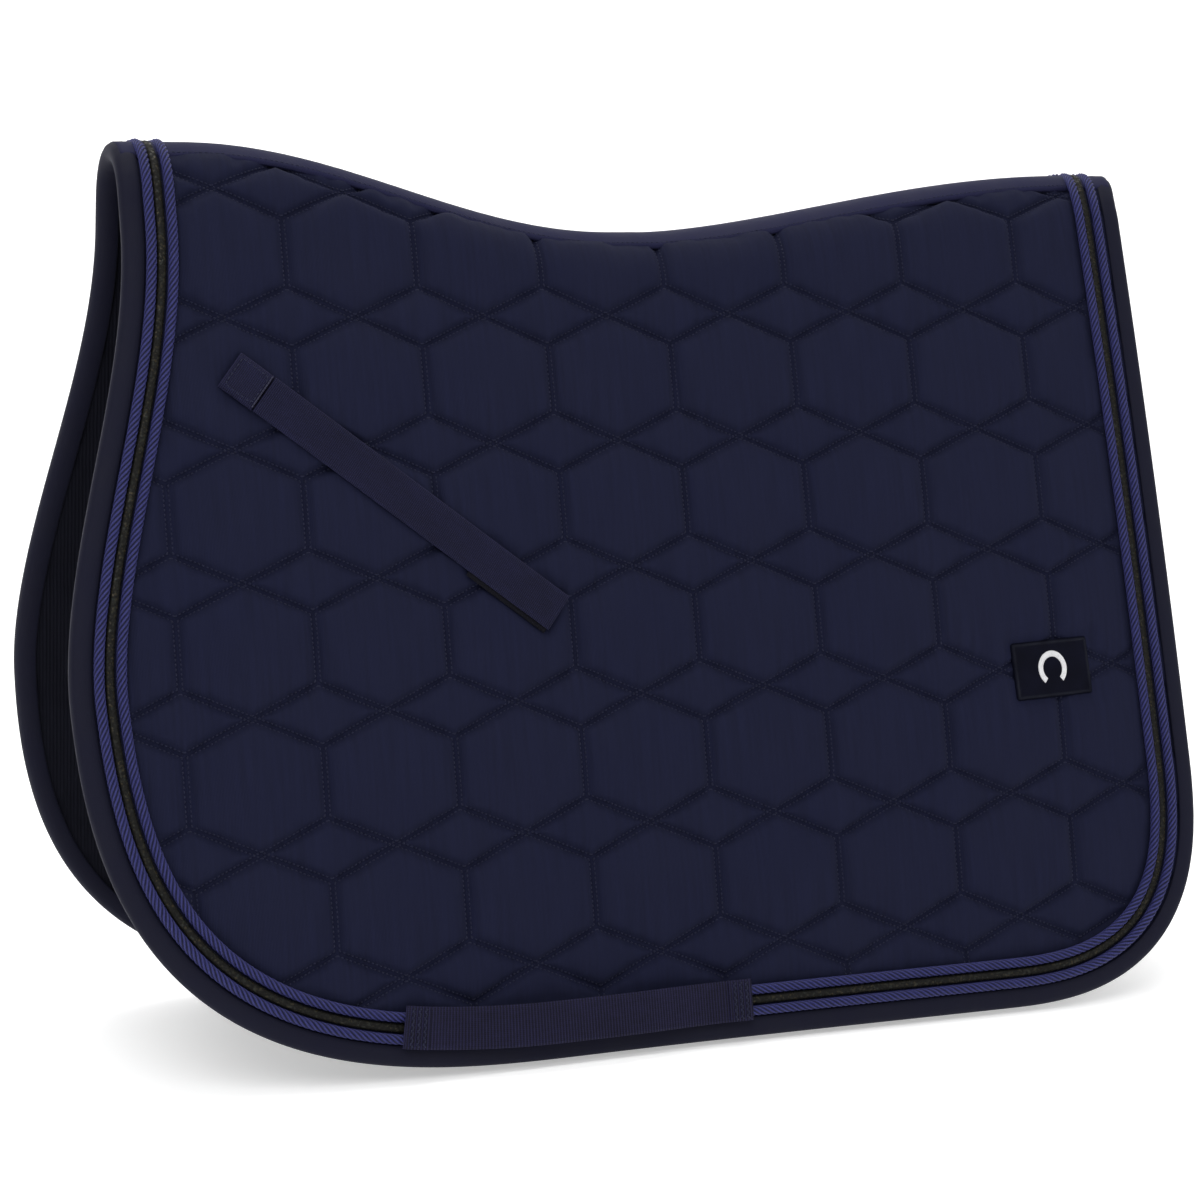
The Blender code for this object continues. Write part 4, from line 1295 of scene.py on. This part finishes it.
def make_stage():
    n = Nodes("pale_floor")
    coordinates = n.node("ShaderNodeTexCoord").outputs["Object"]
    speckle = n.noise(coordinates, 40.0, 3.0)
    color = n.mix(speckle, (0.945, 0.945, 0.947), (0.965, 0.965, 0.965))
    n.shader.inputs["Emission Color"].default_value = (1, 1, 1, 1)
    n.shader.inputs["Emission Strength"].default_value = 0.35
    material = n.finish(color, n.ramp(speckle, 0.3, 0.7, 0.7, 0.8), specular=0.2)
    # a floor that sweeps up into a wall behind the pad
    size, height, radius, floor_z, wall_start = 7.0, 4.5, 1.2, -0.484, 2.0
    profile = [(-3.0, 0.0), (wall_start, 0.0)]
    for a in np.linspace(0.1, math.pi / 2, 14):
        profile.append((wall_start + radius * math.sin(a), radius - radius * math.cos(a)))
    profile.append((wall_start + radius, height))
    points, faces = [], []
    for y, z in profile:
        points += [(-size, y, floor_z + z), (size, y, floor_z + z)]
    for k in range(len(profile) - 1):
        faces.append([2 * k, 2 * k + 1, 2 * k + 3, 2 * k + 2])
    mesh = bpy.data.meshes.new("studio_floor")
    mesh.from_pydata(points, [], faces)
    mesh.materials.append(material)
    mesh.polygons.foreach_set("use_smooth", [True] * len(faces))
    floor = bpy.data.objects.new("studio_floor", mesh)
    bpy.context.scene.collection.objects.link(floor)


def add_area(name, location, target, size, energy):
    data = bpy.data.lights.new(name, "AREA")
    data.shape = "RECTANGLE"
    data.size, data.size_y = size
    data.energy = energy
    light = bpy.data.objects.new(name, data)
    light.location = location
    light.rotation_euler = (Vector(target) - Vector(location)).to_track_quat("-Z", "Y").to_euler()
    bpy.context.scene.collection.objects.link(light)


def make_light():
    middle = (0, 0, -0.2)
    add_area("key_softbox", (-1.3, -2.6, 2.2), middle, (2.2, 2.2), 54)
    add_area("fill_softbox", (2.6, -2.2, 0.9), middle, (2.2, 2.2), 8)
    add_area("top_softbox", (0.0, 0.2, 2.8), middle, (2.6, 2.6), 50)
    world = bpy.data.worlds.new("studio")
    world.use_nodes = True
    world.node_tree.nodes["Background"].inputs[0].default_value = (1.0, 1.0, 1.0, 1)
    world.node_tree.nodes["Background"].inputs[1].default_value = 0.58
    bpy.context.scene.world = world
    bpy.context.scene.view_settings.view_transform = "Standard"


def make_camera():
    """Long lens in front of the left flap, a little towards the horse's head and above it."""
    azimuth, elevation, roll, distance = -0.36522, 0.09988, -0.01372, 1.8
    target = Vector((-0.01865, 0.0, -0.28362 + 0.0516 + CROWN_HEIGHT))
    back = Vector((
        math.sin(azimuth) * math.cos(elevation), -math.cos(azimuth) * math.cos(elevation), math.sin(elevation)
    ))
    right = Vector((math.cos(azimuth), math.sin(azimuth), 0))
    up = back.cross(right)
    turned_right = right * math.cos(roll) + up * math.sin(roll)
    turned_up = -right * math.sin(roll) + up * math.cos(roll)
    data = bpy.data.cameras.new("camera")
    data.lens = 84.28
    data.sensor_width = 36.0
    camera = bpy.data.objects.new("camera", data)
    place = target + back * distance
    camera.matrix_world = Matrix((
        (turned_right.x, turned_up.x, back.x, place.x),
        (turned_right.y, turned_up.y, back.y, place.y),
        (turned_right.z, turned_up.z, back.z, place.z),
        (0, 0, 0, 1),
    ))
    bpy.context.scene.collection.objects.link(camera)
    bpy.context.scene.camera = camera


make_camera()
build()
make_stage()
make_light()
